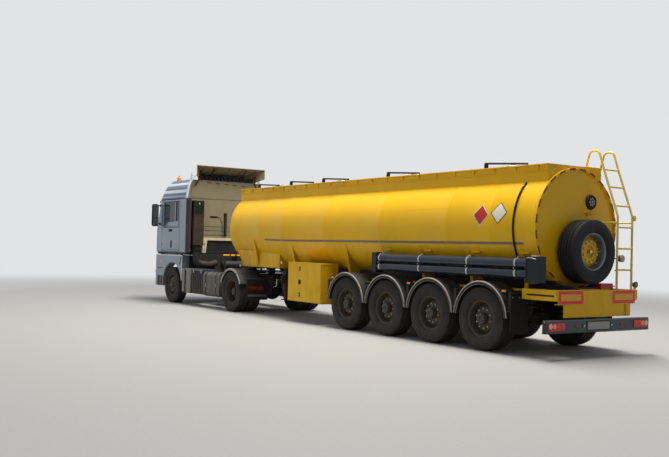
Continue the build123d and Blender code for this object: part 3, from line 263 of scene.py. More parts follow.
def node(tree, kind, inputs=None, **settings):
    """A shader node with its settings and its inputs set or linked; a node as a value stands for its first output."""
    made = tree.nodes.new("ShaderNode" + kind)
    for key, value in settings.items():
        setattr(made, key, value)
    for key, value in (inputs or {}).items():
        if isinstance(value, bpy.types.Node):
            value = value.outputs[0]
        if isinstance(value, bpy.types.NodeSocket):
            tree.links.new(value, made.inputs[key])
        else:
            made.inputs[key].default_value = value
    return made


GREY, BROWN = (0.5, 0.5, 0.5, 1), (0.2, 0.17, 0.13, 1)


def make_groups():
    """Shader groups that several finishes share."""
    group, given, out = new_group("Road dirt", {"Paint": GREY, "Dirt": BROWN, "Amount": 0.5, "Clean height": 2.0,
        "Fade": 1.5, "Patch scale": 3.0}, ("Colour", "Cover"))
    coords = node(group, "TexCoord")
    height = node(group, "SeparateXYZ", {0: coords.outputs["Object"]})
    rise = node(group, "Math", {0: given.outputs["Clean height"], 1: height.outputs["Z"]}, operation="SUBTRACT")
    low = node(group, "Math", {0: rise, 1: given.outputs["Fade"]}, operation="DIVIDE", use_clamp=True)
    patches = node(group, "TexNoise", {"Vector": coords.outputs["Object"], "Scale": given.outputs["Patch scale"],
        "Detail": 6.0, "Roughness": 0.65},)
    run = node(group, "Mapping", {"Vector": coords.outputs["Object"], "Scale": (2.6, 2.6, 0.8)})
    streaks = node(group, "TexNoise", {"Vector": run, "Scale": 2.2, "Detail": 5.0, "Roughness": 0.7})
    mixed = node(group, "Math", {0: patches, 1: streaks}, operation="MULTIPLY")
    spread = node(group, "MapRange", {"Value": mixed, "From Min": 0.12, "From Max": 0.4, "To Min": 0.15,
        "To Max": 1.0},)
    cover = node(group, "Math", {0: low, 1: spread}, operation="MULTIPLY")
    cover = node(group, "Math", {0: cover, 1: given.outputs["Amount"]}, operation="MULTIPLY", use_clamp=True)
    mix = node(group, "Mix", {"Factor": cover, "A": given.outputs["Paint"], "B": given.outputs["Dirt"]},
        data_type="RGBA",)
    group.links.new(mix.outputs["Result"], out.inputs["Colour"])
    group.links.new(cover.outputs[0], out.inputs["Cover"])

    group, given, out = new_group("Worn edges", {"Paint": GREY, "Bare": BROWN, "Amount": 0.5, "Chip scale": 40.0},
        ("Colour", "Worn"))
    coords = node(group, "TexCoord")
    geometry = node(group, "NewGeometry")
    soft = node(group, "Bevel", {"Radius": 0.007}, samples=4)
    turn = node(group, "VectorMath", {0: soft, 1: geometry.outputs["Normal"]}, operation="DOT_PRODUCT")
    edge = node(group, "MapRange", {"Value": turn.outputs["Value"], "From Min": 0.99, "From Max": 0.9})
    chips = node(group, "TexNoise", {"Vector": coords.outputs["Object"], "Scale": given.outputs["Chip scale"],
        "Detail": 5.0, "Roughness": 0.7},)
    chip = node(group, "MapRange", {"Value": chips, "From Min": 0.46, "From Max": 0.6})
    worn = node(group, "Math", {0: edge, 1: chip}, operation="MULTIPLY")
    worn = node(group, "Math", {0: worn, 1: given.outputs["Amount"]}, operation="MULTIPLY", use_clamp=True)
    mix = node(group, "Mix", {"Factor": worn, "A": given.outputs["Paint"], "B": given.outputs["Bare"]},
        data_type="RGBA")
    group.links.new(mix.outputs["Result"], out.inputs["Colour"])
    group.links.new(worn.outputs[0], out.inputs["Worn"])

    group, given, out = new_group("Colour drift", {"Paint": GREY, "Amount": 0.1, "Scale": 1.5, "Grain scale": 120.0},
        ("Colour", "Height", "Clouds"))
    coords = node(group, "TexCoord")
    clouds = node(group, "TexNoise", {"Vector": coords.outputs["Object"], "Scale": given.outputs["Scale"],
        "Detail": 4.0},)
    grain = node(group, "TexNoise", {"Vector": coords.outputs["Object"], "Scale": given.outputs["Grain scale"],
        "Detail": 3.0},)
    shift = node(group, "MapRange", {"Value": clouds, "From Min": 0.3, "From Max": 0.7, "To Min": -1.0,
        "To Max": 1.0})
    shift = node(group, "Math", {0: shift, 1: given.outputs["Amount"]}, operation="MULTIPLY")
    shift = node(group, "Math", {0: shift, 1: 1.0}, operation="ADD")
    tinted = node(group, "HueSaturation", {"Value": shift, "Color": given.outputs["Paint"]})
    group.links.new(tinted.outputs[0], out.inputs["Colour"])
    group.links.new(grain.outputs[0], out.inputs["Height"])
    group.links.new(clouds.outputs[0], out.inputs["Clouds"])


def finish(name, colour, rough=0.5, metal=0.0, coat=0.0, dirt=None, wear=None, drift=0.06, grain=(160.0, 0.1),
        clear=0.0, glow=0.0,):
    """One finish: colour drift, then dirt that gathers low down, then worn edges, over a fine grain.

    dirt is a colour, how much, the height that stays clean, the fade below it and the patches' scale.
    wear is how much, and the colour of the bare edges. grain is its scale, strength and depth.
    """
    material = bpy.data.materials.new(name)
    material.use_nodes = True
    tree = material.node_tree
    shader = tree.nodes["Principled BSDF"]
    shader.inputs["Specular IOR Level"].default_value = 0.5 if clear else 0.2
    colour = (*tone(*colour), 1)
    drifting = node(tree, "Group", node_tree=bpy.data.node_groups["Colour drift"])
    for key, value in (("Paint", colour), ("Amount", drift), ("Scale", 1.5), ("Grain scale", grain[0])):
        drifting.inputs[key].default_value = value
    last = drifting.outputs["Colour"]
    rough_link = None
    if dirt:
        dirty = node(tree, "Group", node_tree=bpy.data.node_groups["Road dirt"])
        tree.links.new(last, dirty.inputs["Paint"])
        dirty.inputs["Dirt"].default_value = (*tone(*dirt[:3]), 1)
        for key, value in zip(("Amount", "Clean height", "Fade", "Patch scale"), (*dirt[3:], 3.0)):
            dirty.inputs[key].default_value = value
        last = dirty.outputs["Colour"]
        rough_link = node(tree, "MapRange", {"Value": dirty.outputs["Cover"], "To Min": rough,
            "To Max": max(rough, 0.85)},).outputs[0]
    if wear:
        worn = node(tree, "Group", node_tree=bpy.data.node_groups["Worn edges"])
        tree.links.new(last, worn.inputs["Paint"])
        worn.inputs["Bare"].default_value = (*tone(*wear[1:]), 1)
        worn.inputs["Amount"].default_value = wear[0]
        last = worn.outputs["Colour"]
    tree.links.new(last, shader.inputs["Base Color"])
    if rough_link is None:
        rough_link = node(tree, "MapRange", {"Value": drifting.outputs["Clouds"], "From Min": 0.3, "From Max": 0.7,
            "To Min": rough * 0.88, "To Max": min(1, rough * 1.12)},).outputs[0]
    tree.links.new(rough_link, shader.inputs["Roughness"])
    shader.inputs["Metallic"].default_value = metal
    shader.inputs["Coat Weight"].default_value = coat
    shader.inputs["Coat Roughness"].default_value = 0.08
    shader.inputs["Transmission Weight"].default_value = clear
    if glow:
        shader.inputs["Emission Color"].default_value = colour
        shader.inputs["Emission Strength"].default_value = glow
    if grain[1]:
        depth = grain[2] if len(grain) > 2 else 0.001
        relief = node(tree, "Bump", {"Height": drifting.outputs["Height"], "Strength": grain[1], "Distance": depth})
        tree.links.new(relief.outputs[0], shader.inputs["Normal"])
    return material


class LorryColours(bpy.types.PropertyGroup):
    """Paint colours of the lorry"""

    tank: bpy.props.FloatVectorProperty(name="Tank",
        description="Yellow paint of the tank and its fittings, 0 to 255", size=3, default=(229, 178, 8))
    # the cab's blue-grey is painted shade: a pale cab as it looks in shade, tinted blue by the sky
    cab: bpy.props.FloatVectorProperty(name="Cab", description="Paint of the cab's sides and front, 0 to 255", size=3,
        default=(114, 131, 146))
    # the back wall's beige is painted shade: the pale cab's rear in shade, warmed by light bounced off the yellow
    # tank
    back_wall: bpy.props.FloatVectorProperty(name="Back wall",
        description="Paint of the cab's back wall and roof deflector, 0 to 255", size=3, default=(140, 130, 104))
    stripe: bpy.props.FloatVectorProperty(name="Stripe", description="Stripe along the tank, 0 to 255", size=3,
        default=(116, 100, 84))


class LorrySizes(bpy.types.PropertyGroup):
    """Sizes of the lorry's small parts"""

    ladder_tube: bpy.props.FloatProperty(name="Ladder tube", description="Radius of the ladder's rails",
        default=0.019, unit="LENGTH")
    weld: bpy.props.FloatProperty(name="Weld", description="Height of the tank's ring welds", default=0.0022,
        unit="LENGTH")
    tread_groove: bpy.props.FloatProperty(name="Tread groove", description="Depth of the tyres' grooves",
        default=0.011, unit="LENGTH")


def build_finishes(scene):
    colours = scene.lorry_colours
    make_groups()
    tank, cab, wall = tuple(colours.tank), tuple(colours.cab), tuple(colours.back_wall)
    # the tank turns a darker, browner yellow towards the bottom
    finish("tank paint", tank, 0.34, coat=0.12, dirt=(112, 72, 12, 0.55, 2.2, 1.2), drift=0.03,
        grain=(9.0, 0.05, 0.004))
    finish("frame yellow", tank, 0.42, coat=0.12, dirt=(108, 78, 26, 0.3, 3.6, 3.0), wear=(0.45, 118, 84, 48))
    # a lighter yellow than the same paint on the frame and tank: painted sunlight on the ladder
    finish("ladder lit yellow", (232, 200, 92), 0.4, coat=0.2, dirt=(112, 90, 46, 0.35, 2.6, 2.4),
        wear=(0.4, 118, 90, 60))
    # painted shade: the pale cab's sides in shade, tinted blue by the sky
    finish("cab sky shaded paint", cab, 0.3, metal=0.25, coat=0.7, dirt=(120, 118, 112, 0.45, 2.3, 1.6), drift=0.03,
        grain=(14.0, 0.04, 0.003))
    # painted shade: the pale cab's rear wall in shade, warmed by light bounced off the tank, and browner and darker
    # towards the bottom
    finish("back wall warm shade paint", wall, 0.5, coat=0.1, dirt=(104, 92, 68, 0.6, 3.9, 2.2))
    finish("wall lip", (204, 194, 164), 0.45, coat=0.1, dirt=(110, 98, 76, 0.4, 2.4, 1.6), wear=(0.3, 120, 116, 110))
    # pale blue-white: painted sky reflection in the roof's bands, and the pale trim and fender strips
    finish("cab pale trim and sheen", (206, 216, 226), 0.3, metal=0.15, coat=0.6, drift=0.03, grain=(14.0, 0.04, 0.003))
    # darker blue-grey bands along the roof: painted shade
    finish("cab shade band", (82, 96, 116), 0.34, metal=0.25, coat=0.5, drift=0.04, grain=(14.0, 0.04, 0.003))
    finish("rust brown", (64, 36, 27), 0.62, drift=0.2, grain=(140.0, 0.3))
    finish("reflector red", (112, 24, 24), 0.3, coat=0.5, drift=0.08, grain=(420.0, 0.15))
    finish("visor smoke", (34, 38, 42), 0.14, coat=0.5, drift=0.05, grain=(60.0, 0.04))
    finish("box dark", (33, 35, 39), 0.5, dirt=(92, 84, 74, 0.55, 1.3, 1.0), wear=(0.3, 120, 116, 110), drift=0.1,
        grain=(260.0, 0.2))
    finish("box lid", (54, 64, 78), 0.34, coat=0.3, dirt=(96, 90, 80, 0.35, 1.5, 1.2), drift=0.08)
    finish("step grey", (140, 134, 124), 0.46, metal=0.2, dirt=(104, 95, 82, 0.65, 1.25, 1.0),
        wear=(0.3, 120, 116, 110), drift=0.07)
    finish("tank silver", (98, 93, 86), 0.42, metal=0.35, dirt=(100, 90, 76, 0.6, 1.05, 0.7), drift=0.07,
        grain=(120.0, 0.12))
    finish("tractor guard", (166, 163, 160), 0.42, dirt=(112, 106, 98, 0.5, 1.2, 0.9), drift=0.05)
    finish("lens smoke", (66, 64, 66), 0.12, coat=0.8, drift=0.05, grain=(90.0, 0.3, 0.002))
    finish("black plastic", (30, 30, 32), 0.52, dirt=(98, 90, 80, 0.42, 2.2, 2.2), drift=0.1, grain=(420.0, 0.25))
    finish("dark duct", (46, 40, 34), 0.6, dirt=(92, 78, 60, 0.6, 4.0, 3.0), drift=0.1, grain=(260.0, 0.25))
    finish("chassis paint", (34, 35, 38), 0.58, dirt=(92, 84, 72, 0.5, 1.9, 1.8), wear=(0.4, 84, 60, 46), drift=0.12,
        grain=(110.0, 0.3))
    finish("cast iron", (52, 50, 48), 0.62, metal=0.6, dirt=(80, 72, 62, 0.6, 2.0, 2.0), drift=0.15,
        grain=(190.0, 0.5))
    finish("grease", (22, 20, 17), 0.35, drift=0.2, grain=(60.0, 0.4))
    finish("tyre rubber", (34, 34, 36), 0.8, dirt=(86, 80, 72, 0.62, 1.2, 1.5, 6.0), drift=0.12, grain=(330.0, 0.3))
    finish("spare rubber", (30, 31, 34), 0.62, drift=0.12, grain=(330.0, 0.2))
    finish("rim paint", (72, 68, 64), 0.5, metal=0.3, dirt=(88, 74, 58, 0.85, 1.6, 1.2, 7.0),
        wear=(0.5, 140, 134, 126), drift=0.1, grain=(90.0, 0.2))
    finish("hub paint", (58, 58, 55), 0.45, metal=0.4, dirt=(84, 75, 62, 0.6, 1.6, 1.4), wear=(0.8, 128, 124, 116),
        drift=0.15, grain=(120.0, 0.3))
    finish("silver rim", (108, 116, 126), 0.36, metal=0.65, grain=(70.0, 0.1))
    finish("bright steel", (176, 176, 172), 0.28, metal=1.0, drift=0.08, grain=(200.0, 0.1))
    finish("dull aluminium", (138, 136, 132), 0.42, metal=0.85, dirt=(100, 92, 80, 0.4, 1.6, 1.8), drift=0.08,
        grain=(140.0, 0.15))
    finish("bar grey", (66, 76, 80), 0.45, metal=0.4, coat=0.2, dirt=(96, 92, 84, 0.4, 0.9, 0.9))
    finish("guard black", (44, 43, 45), 0.6, dirt=(100, 92, 82, 0.7, 1.3, 0.9), drift=0.1, grain=(240.0, 0.2))
    # pale grey on the black guards' rolled lip: painted highlight, with road dust low down
    finish("guard lip sheen and dust", (168, 163, 158), 0.42, dirt=(108, 98, 88, 0.75, 1.25, 0.75))
    finish("tube plastic", (20, 36, 52), 0.22, coat=0.4, drift=0.04, grain=(160.0, 0.0))
    finish("tube end", (30, 34, 42), 0.42)
    finish("hose rubber", (28, 26, 24), 0.55, drift=0.1, grain=(300.0, 0.2))
    finish("stripe", tuple(colours.stripe), 0.4, coat=0.3)
    finish("marker red", (214, 52, 20), 0.32, coat=0.4, drift=0.04, grain=(420.0, 0.1))
    finish("marker yellow", (218, 158, 22), 0.32, coat=0.4, drift=0.04, grain=(420.0, 0.1))
    finish("marker brown", (118, 36, 12), 0.35, coat=0.3, drift=0.1, grain=(420.0, 0.1))
    finish("marker white", (222, 216, 200), 0.35, coat=0.3, drift=0.04, grain=(420.0, 0.1))
    finish("lamp red", (178, 16, 22), 0.12, coat=0.8, drift=0.05, grain=(90.0, 0.3, 0.002), glow=0.12)
    finish("lamp amber", (226, 118, 24), 0.14, coat=0.8, drift=0.05, grain=(90.0, 0.3, 0.002), glow=0.15)
    finish("lamp clear", (206, 210, 212), 0.08, coat=0.8, drift=0.03, grain=(90.0, 0.3, 0.002), clear=0.2)
    finish("dark pane", (16, 24, 26), 0.05, drift=0.02, grain=(160.0, 0.0), clear=0.3)
    finish("mirror glass", (170, 180, 186), 0.04, metal=1.0, drift=0.02, grain=(160.0, 0.0))
    finish("seat cloth", (58, 58, 62), 0.9, drift=0.12, grain=(600.0, 0.5))
    finish("trim plastic", (70, 68, 66), 0.6, drift=0.08, grain=(500.0, 0.3))
    finish("panel grey", (112, 108, 102), 0.5, dirt=(104, 94, 80, 0.6, 1.4, 1.3), grain=(180.0, 0.2))
    finish("blank plate", (160, 160, 158), 0.4, dirt=(110, 104, 94, 0.5, 1.0, 1.0), drift=0.04)
    finish("signal red", (172, 34, 26), 0.4, coat=0.3)
    kept = {"tank paint": ["tank"], "frame yellow": ["coaming", "rear_beam", "side_cabinets", "cabinet_door_left",
        "cabinet_door_right", "ladder"], "cab sky shaded paint": ["cab_shell", "door_left", "door_right", "front_fenders"],
        "back wall warm shade paint": ["roof_deflector"], "black plastic": ["mirrors_and_visor", "side_boxes", "grille",
        "front_bumper"], "dark duct": ["air_intake"], "guard black": ["trailer_mudguards"],
        "guard lip sheen and dust": ["drive_mudguards"], "tube plastic": ["hose_tubes"],
        "chassis paint": ["trailer_frame", "tractor_frame", "trailer_axles", "drive_axle", "front_axle",
        "landing_legs", "landing_feet", "knuckle_left", "knuckle_right"], "bar grey": ["light_bar"],
        "cast iron": ["engine"], "grease": ["fifth_wheel"], "tyre rubber": [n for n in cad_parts
        if "_wheel_" in n], "spare rubber": ["spare_wheel"], "dark pane": ["windscreen", "door_glass_left",
        "door_glass_right"], "lamp red": ["rear_lamps"], "lamp clear": ["headlamps"], "lamp amber": ["beacon"],
        "dull aluminium": ["fuel_tanks", "manhole_lid_1", "manhole_lid_2", "manhole_lid_3", "manhole_lid_4"],
        "hose rubber": ["drain_hose", "roof_fittings"], "seat cloth": ["cab_interior"],}
    for name, nodes in kept.items():
        for title in nodes:
            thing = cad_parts[title]
            thing.data.materials.clear()
            thing.data.materials.append(bpy.data.materials[name])
    missing = set(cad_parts) - {n for nodes in kept.values() for n in nodes}
    if missing:
        raise RuntimeError(f"no finish for {sorted(missing)}")


BACKGROUND = (226, 227, 228)
FLOOR = (140, 139, 139), (157, 156, 155)
HAZE = (9.0, 30.0)  # how far out the floor begins to fade into the background, and where it has done so
# each lamp's place, aim, size, power and colour
LAMPS = (("key", (-1.5, -1.0, 18.5), (-1.0, 0.0, 1.0), (14.0, 4.0), 7400.0, (1.0, 0.955, 0.87)),
    ("fill", (-4.0, 20.0, 8.0), (0.0, 0.0, 1.6), (18.0, 9.0), 420.0, (0.9, 0.95, 1.0)),
    ("front", (18.0, 9.0, 8.0), (5.0, 0.0, 2.0), (9.0, 7.0), 700.0, (0.95, 0.98, 1.0)),)
# the photograph's viewpoint: place, yaw, pitch and roll, and the lens in mm over its sensor
CAMERA_PLACE = (-17.104, 11.6, 1.657)
CAMERA_TURNS = radians(34.29), radians(1.278), radians(1.402)
CAMERA_SENSOR = 36.0
CAMERA_LENS = 881.438 * CAMERA_SENSOR / 669


def background_rays(tree):
    """Mask of the rays that see the plain background: those of the camera, of reflections and through glass."""
    rays = node(tree, "LightPath")
    mask = rays.outputs["Is Camera Ray"]
    for kind in ("Is Glossy Ray", "Is Transmission Ray"):
        mask = node(tree, "Math", {0: mask, 1: rays.outputs[kind]}, operation="MAXIMUM").outputs[0]
    return mask


def build_stage(scene):
    scene.view_settings.view_transform = "Standard"
    world = bpy.data.worlds.new("studio")
    scene.world = world
    world.use_nodes = True
    tree = world.node_tree
    tree.nodes.clear()
    pale = (*tone(*BACKGROUND), 1)
    light = node(tree, "Background", {"Color": (*tone(214, 222, 232), 1), "Strength": 0.36})
    seen = node(tree, "Background", {"Color": pale, "Strength": 1.0})
    mix = node(tree, "MixShader", {0: background_rays(tree), 1: light, 2: seen})
    out = node(tree, "OutputWorld")
    tree.links.new(mix.outputs[0], out.inputs[0])

    form = Form()
    form.turned(((0, 0.001), (0, 12), (0, 40), (0, 400)), (0, 0, 0), "z", 96)
    material = bpy.data.materials.new("floor")
    material.use_nodes = True
    tree = material.node_tree
    ground = tree.nodes["Principled BSDF"]
    ground.inputs["Roughness"].default_value = 0.75
    coords = node(tree, "TexCoord")
    speck = node(tree, "TexNoise", {"Vector": coords.outputs["Object"], "Scale": 30.0, "Detail": 6.0})
    ramp = node(tree, "Mix", {"Factor": speck, "A": (*tone(*FLOOR[0]), 1), "B": (*tone(*FLOOR[1]), 1)},
        data_type="RGBA")
    tree.links.new(ramp.outputs["Result"], ground.inputs["Base Color"])
    reach = node(tree, "VectorMath", {0: coords.outputs["Object"]}, operation="LENGTH")
    far = node(tree, "MapRange", {"Value": reach.outputs["Value"], "From Min": HAZE[0], "From Max": HAZE[1]},
        interpolation_type="SMOOTHSTEP")
    shown = node(tree, "Math", {0: far, 1: background_rays(tree)}, operation="MULTIPLY")
    haze = node(tree, "Emission", {"Color": pale, "Strength": 1.0})
    blend = node(tree, "MixShader", {0: shown, 1: ground, 2: haze})
    tree.links.new(blend.outputs[0], tree.nodes["Material Output"].inputs[0])
    mesh = bpy.data.meshes.new("floor")
    mesh.from_pydata(form.points, [], form.faces)
    mesh.materials.append(material)
    floor = bpy.data.objects.new("floor", mesh)
    scene.collection.objects.link(floor)

    for name, place, aim, size, power, colour in LAMPS:
        lamp = bpy.data.lights.new(name, "AREA")
        lamp.shape, lamp.size, lamp.size_y = "RECTANGLE", size[0], size[1]
        lamp.energy, lamp.color = power, colour
        holder = bpy.data.objects.new(name, lamp)
        scene.collection.objects.link(holder)
        holder.visible_glossy = name == "key"
        holder.location = place
        holder.rotation_euler = (Vector(aim) - Vector(place)).to_track_quat("-Z", "Y").to_euler()

    yaw, pitch, roll = CAMERA_TURNS
    forward = Vector((cos(yaw) * cos(pitch), -sin(yaw) * cos(pitch), sin(pitch)))
    right = forward.cross(Vector((0, 0, 1))).normalized()
    up = right.cross(forward)
    across = right * cos(roll) + up * sin(roll)
    top = up * cos(roll) - right * sin(roll)
    lens = bpy.data.cameras.new("camera")
    lens.sensor_width, lens.lens = CAMERA_SENSOR, CAMERA_LENS
    lens.clip_end = 1000
    camera = bpy.data.objects.new("camera", lens)
    scene.collection.objects.link(camera)
    turn = Matrix((across, top, -forward)).transposed().to_4x4()
    camera.matrix_world = Matrix.Translation(CAMERA_PLACE) @ turn
    scene.camera = camera


# wheels

TYRE_STEPS = 144


def tyre_form(form, radius, width, groove, finish=0, lugs=0.006):
    """Tyre about the Y axis with ribs on its walls, grooves round the tread and notched shoulders."""
    bead = 0.29
    half = width / 2
    tall = radius - bead
    wall = [(0.36, 0.0), (0.375, 0.02), (0.385, 0.07), (0.4, 0.1), (0.43, 0.15), (0.455, 0.19), (0.462, 0.2),
        (0.468, 0.23), (0.47, 0.24), (0.492, 0.33), (0.5, 0.45), (0.497, 0.56), (0.488, 0.66), (0.482, 0.72),
        (0.486, 0.735), (0.48, 0.76), (0.47, 0.8), (0.455, 0.86), (0.447, 0.91), (0.43, 0.955), (0.405, 0.985),]
    profile = [(-w * width, bead + h * tall) for w, h in wall]
    crown = [-0.38, -0.255, -0.25, -0.215, -0.21, -0.095, -0.09, -0.055, -0.05, 0.05, 0.055, 0.09, 0.095, 0.21, 0.215,
        0.25, 0.255, 0.38]
    low = {2, 3, 6, 7, 10, 11, 14, 15}
    for k, share in enumerate(crown):
        drop = 0.004 * (share / 0.38) ** 2 + (groove if k in low else 0)
        profile.append((share * width, radius - drop))
    profile += [(w * width, bead + h * tall) for w, h in reversed(wall)]
    profile = [(max(-half, min(half, v)), r) for v, r in profile]
    first, last = len(wall) - 5, len(wall) + 1
    count = len(profile)

    def notched(i, j):
        at_shoulder = first <= j <= last or first <= count - 1 - j <= last
        return -lugs if at_shoulder and i % 3 == 0 else 0.0

    form.turned(profile, (0, 0, 0), "y", TYRE_STEPS, finish, shape=notched)


def pierced_disc(form, rings, holes, hole_radius, hole_span, hole_depth, thickness, finish=0, outward=1):
    """Wheel disc from radius to radius of rings (radius, along), with oval hand holes between the last two rings."""
    per_hole = 16
    inner, outer = rings[-2], rings[-1]
    steps = holes * 4
    form.turned([(along * outward, radius) for radius, along in rings[:-1]], (0, 0, 0), "y", steps, finish)
    middle, reach = (inner[0] + outer[0]) / 2, (outer[0] - inner[0]) / 2
    half = pi / holes

    def spot(angle, radius, back=0.0):
        share = (radius - inner[0]) / (outer[0] - inner[0])
        along = inner[1] + (outer[1] - inner[1]) * share - back
        return (radius * cos(angle), along * outward, radius * sin(angle))

    for n in range(holes):
        centre = 2 * pi * n / holes
        edge, lip, bottom = [], [], []
        for k in range(per_hole):
            turn = 2 * pi * k / per_hole
            c, s = cos(turn), sin(turn)
            stretch = 1 / max(abs(c), abs(s))
            edge.append(spot(centre + half * c * stretch, middle + reach * s * stretch))
            lip.append(spot(centre + hole_span * c, hole_radius + hole_depth * s))
            bottom.append(spot(centre + hole_span * c, hole_radius + hole_depth * s, thickness))
        form.skin([edge, lip, bottom], finish, loop=True)


def nuts(form, count, circle, low, high, size, finish, outward=1):
    """Ring of hexagonal nuts with their stud ends."""
    for n in range(count):
        angle = 2 * pi * (n + 0.5) / count
        centre = (circle * cos(angle), 0, circle * sin(angle))
        a, b = sorted((low * outward, high * outward))
        form.turned(((a, 0.0001), (a, size), (b, size * 0.92), (b, 0.0001)), centre, "y", 6, finish)
        a, b = sorted((high * outward, (high + size * 0.8) * outward))
        form.turned(((a, 0.0001), (a, size * 0.5), (b, size * 0.45), (b, 0.0001)), centre, "y", 8, finish)


def rim_form(form, width, side, disc, hub, paint=1, hub_paint=2, steel=3, disc_paint=None, back=None):
    """Rim barrel, pierced disc, nuts and hub; disc and hub are how far out they stand from the tyre's middle."""
    disc_paint = paint if disc_paint is None else disc_paint
    half = 0.36 * width
    barrel = [(half + 0.001, 0.291), (half + 0.003, 0.3075), (half + 0.009, 0.309), (half + 0.012, 0.305),
        (half + 0.0125, 0.295), (half + 0.006, 0.286), (half - 0.006, 0.279), (half - 0.03, 0.276),
        (half - 0.055, 0.268), (0.0, 0.262), (-half + 0.03, 0.268), (-half, 0.276), (-half - 0.012, 0.3),
        (-half - 0.006, 0.3075), (-half - 0.001, 0.291),]
    form.turned(barrel, (0, 0, 0), "y", 72, paint, side=side)
    rings = [(0.1, disc + 0.004), (0.118, disc), (0.186, disc), (0.196, disc - 0.004), (0.262, disc - 0.05)]
    pierced_disc(form, rings, 10, 0.231, 0.098, 0.022, 0.014, disc_paint, side)
    back_ring = [(disc - 0.06, 0.262), (disc - 0.018, 0.196), (disc - 0.016, 0.1)]
    form.turned(back_ring, (0, 0, 0), "y", 40, disc_paint, side=side)
    nuts(form, 10, 0.1675, disc, disc + 0.022, 0.0155, steel, side)
    if hub is None:
        form.turned(((disc + 0.004, 0.1), (disc - 0.03, 0.098), (disc - 0.032, 0.0001)), (0, 0, 0), "y", 40,
            back or paint, side=side)
        return
    form.turned(((disc + 0.004, 0.104), (hub - 0.045, 0.1), (hub - 0.04, 0.094), (hub - 0.014, 0.09),
        (hub - 0.01, 0.08), (hub - 0.002, 0.076), (hub, 0.066), (hub, 0.03), (hub - 0.004, 0.026),
        (hub - 0.004, 0.0001)), (0, 0, 0), "y", 40, hub_paint, side=side)
    for n in range(8):
        angle = 2 * pi * n / 8
        centre = (0.07 * cos(angle), 0, 0.07 * sin(angle))
        a, b = sorted(((hub - 0.006) * side, hub * side))
        form.turned(((a, 0.0001), (a, 0.007), (b, 0.0065), (b, 0.0001)), centre, "y", 6, steel)


def build_wheels(scene):
    groove = scene.lorry_sizes.tread_groove
    finishes = ("tyre rubber", "rim paint", "hub paint", "bright steel")
    meshes = {}

    def wheel(name, kind, side, body, centre, turn):
        key = (kind, side)
        if key not in meshes:
            form = Form()
            if kind == "trailer":
                tyre_form(form, *TRAILER_TYRE, groove)
                rim_form(form, TRAILER_TYRE[1], side, 0.07, 0.165)
            elif kind == "front":
                tyre_form(form, *TRACTOR_TYRE, groove)
                rim_form(form, TRACTOR_TYRE[1], side, 0.095, 0.15)
            else:
                for shift in (0.0, -TWIN_PITCH * side):
                    part = Form()
                    tyre_form(part, *TRACTOR_TYRE, groove * 1.3, lugs=0.01)
                    if shift:
                        half = 0.36 * TRACTOR_TYRE[1]
                        part.turned(((-half, 0.291), (-half - 0.008, 0.309), (0, 0.262), (half + 0.008, 0.309),
                            (half, 0.291)), (0, 0, 0), "y", 72, 1)
                    start = len(form.points)
                    form.points += [(x, y + shift, z) for x, y, z in part.points]
                    form.faces += [[start + i for i in face] for face in part.faces]
                    form.finishes += part.finishes
                rim_form(form, TRACTOR_TYRE[1], side, -0.05, 0.06)
            made = piece(name + "_dressed", form, body, finishes, smooth=32, replaces=(name,))
            meshes[key] = made.data.copy()
            made.data.transform(Matrix.Rotation(turn, 4, "Y"))
            made.matrix_world = Matrix.Translation(centre)
            return
        mesh = meshes[key].copy()
        mesh.transform(Matrix.Rotation(turn, 4, "Y"))
        show(name + "_dressed", mesh, body, replaces=(name,), place=Matrix.Translation(centre))

    for title, side in (("left", 1), ("right", -1)):
        for n, x in enumerate(TRAILER_AXLES, start=1):
            name = f"trailer_wheel_{title}_{n}"
            wheel(name, "trailer", side, name, (x, side * TRAILER_WHEEL_Y, TRAILER_TYRE[0]), 0.7 * n)
        wheel(f"front_wheel_{title}", "front", side, f"front_wheel_{title}",
            (FRONT_X, side * TRACTOR_WHEEL_Y, TRACTOR_TYRE[0]), 0.4)
        wheel(f"drive_wheel_{title}", "drive", side, f"drive_wheel_{title}",
            (DRIVE_X, side * TRACTOR_WHEEL_Y, TRACTOR_TYRE[0]), 0.2)

    form = Form()
    tyre_form(form, *SPARE_TYRE, groove, lugs=0.004)
    rim_form(form, SPARE_TYRE[1], 1, 0.06, None, paint=1, disc_paint=2, back=2)
    spare = piece("spare_dressed", form, "trailer", ("spare rubber", "silver rim", "frame yellow",
        "bright steel"), smooth=32)
    spare.matrix_world = Matrix.Translation((SPARE_X, 0, SPARE_Z)) @ Matrix.Rotation(radians(90), 4, "Z")
    carrier = Form()
    carrier.rod((-7.45, 0, SPARE_Z), "x", -0.012, 0.18, 0.13, 40, 0)
    carrier.rod((-7.53, 0, SPARE_Z), "x", -0.035, 0.09, 0.028, 24, 1)
    for angle in (30, 150, 270):
        y, z = 0.085 * cos(radians(angle)), 0.085 * sin(radians(angle))
        carrier.rod((-7.475, y, SPARE_Z + z), "x", -0.012, 0.02, 0.012, 6, 1)
    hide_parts("spare_wheel")
    piece("spare_carrier", carrier, "trailer", ("frame yellow", "bright steel"), bevel=0.002)


# trailer


def tank_circle(x):
    """Centre height and radius of the tank at x, on its drum and its cone."""
    share = max(0.0, min(1.0, (x - CONE_START) / (RIM_X - CONE_START)))
    radius = TANK_R + (FRONT_R - TANK_R) * share
    return TANK_Z + TANK_R - radius, radius


def on_tank(x, angle, lift=0.0):
    """Point on the tank's side; angle is 0 at its left side and 90 on top."""
    z, radius = tank_circle(x)
    a = radians(angle)
    return (x, (radius + lift) * cos(a), z + (radius + lift) * sin(a))


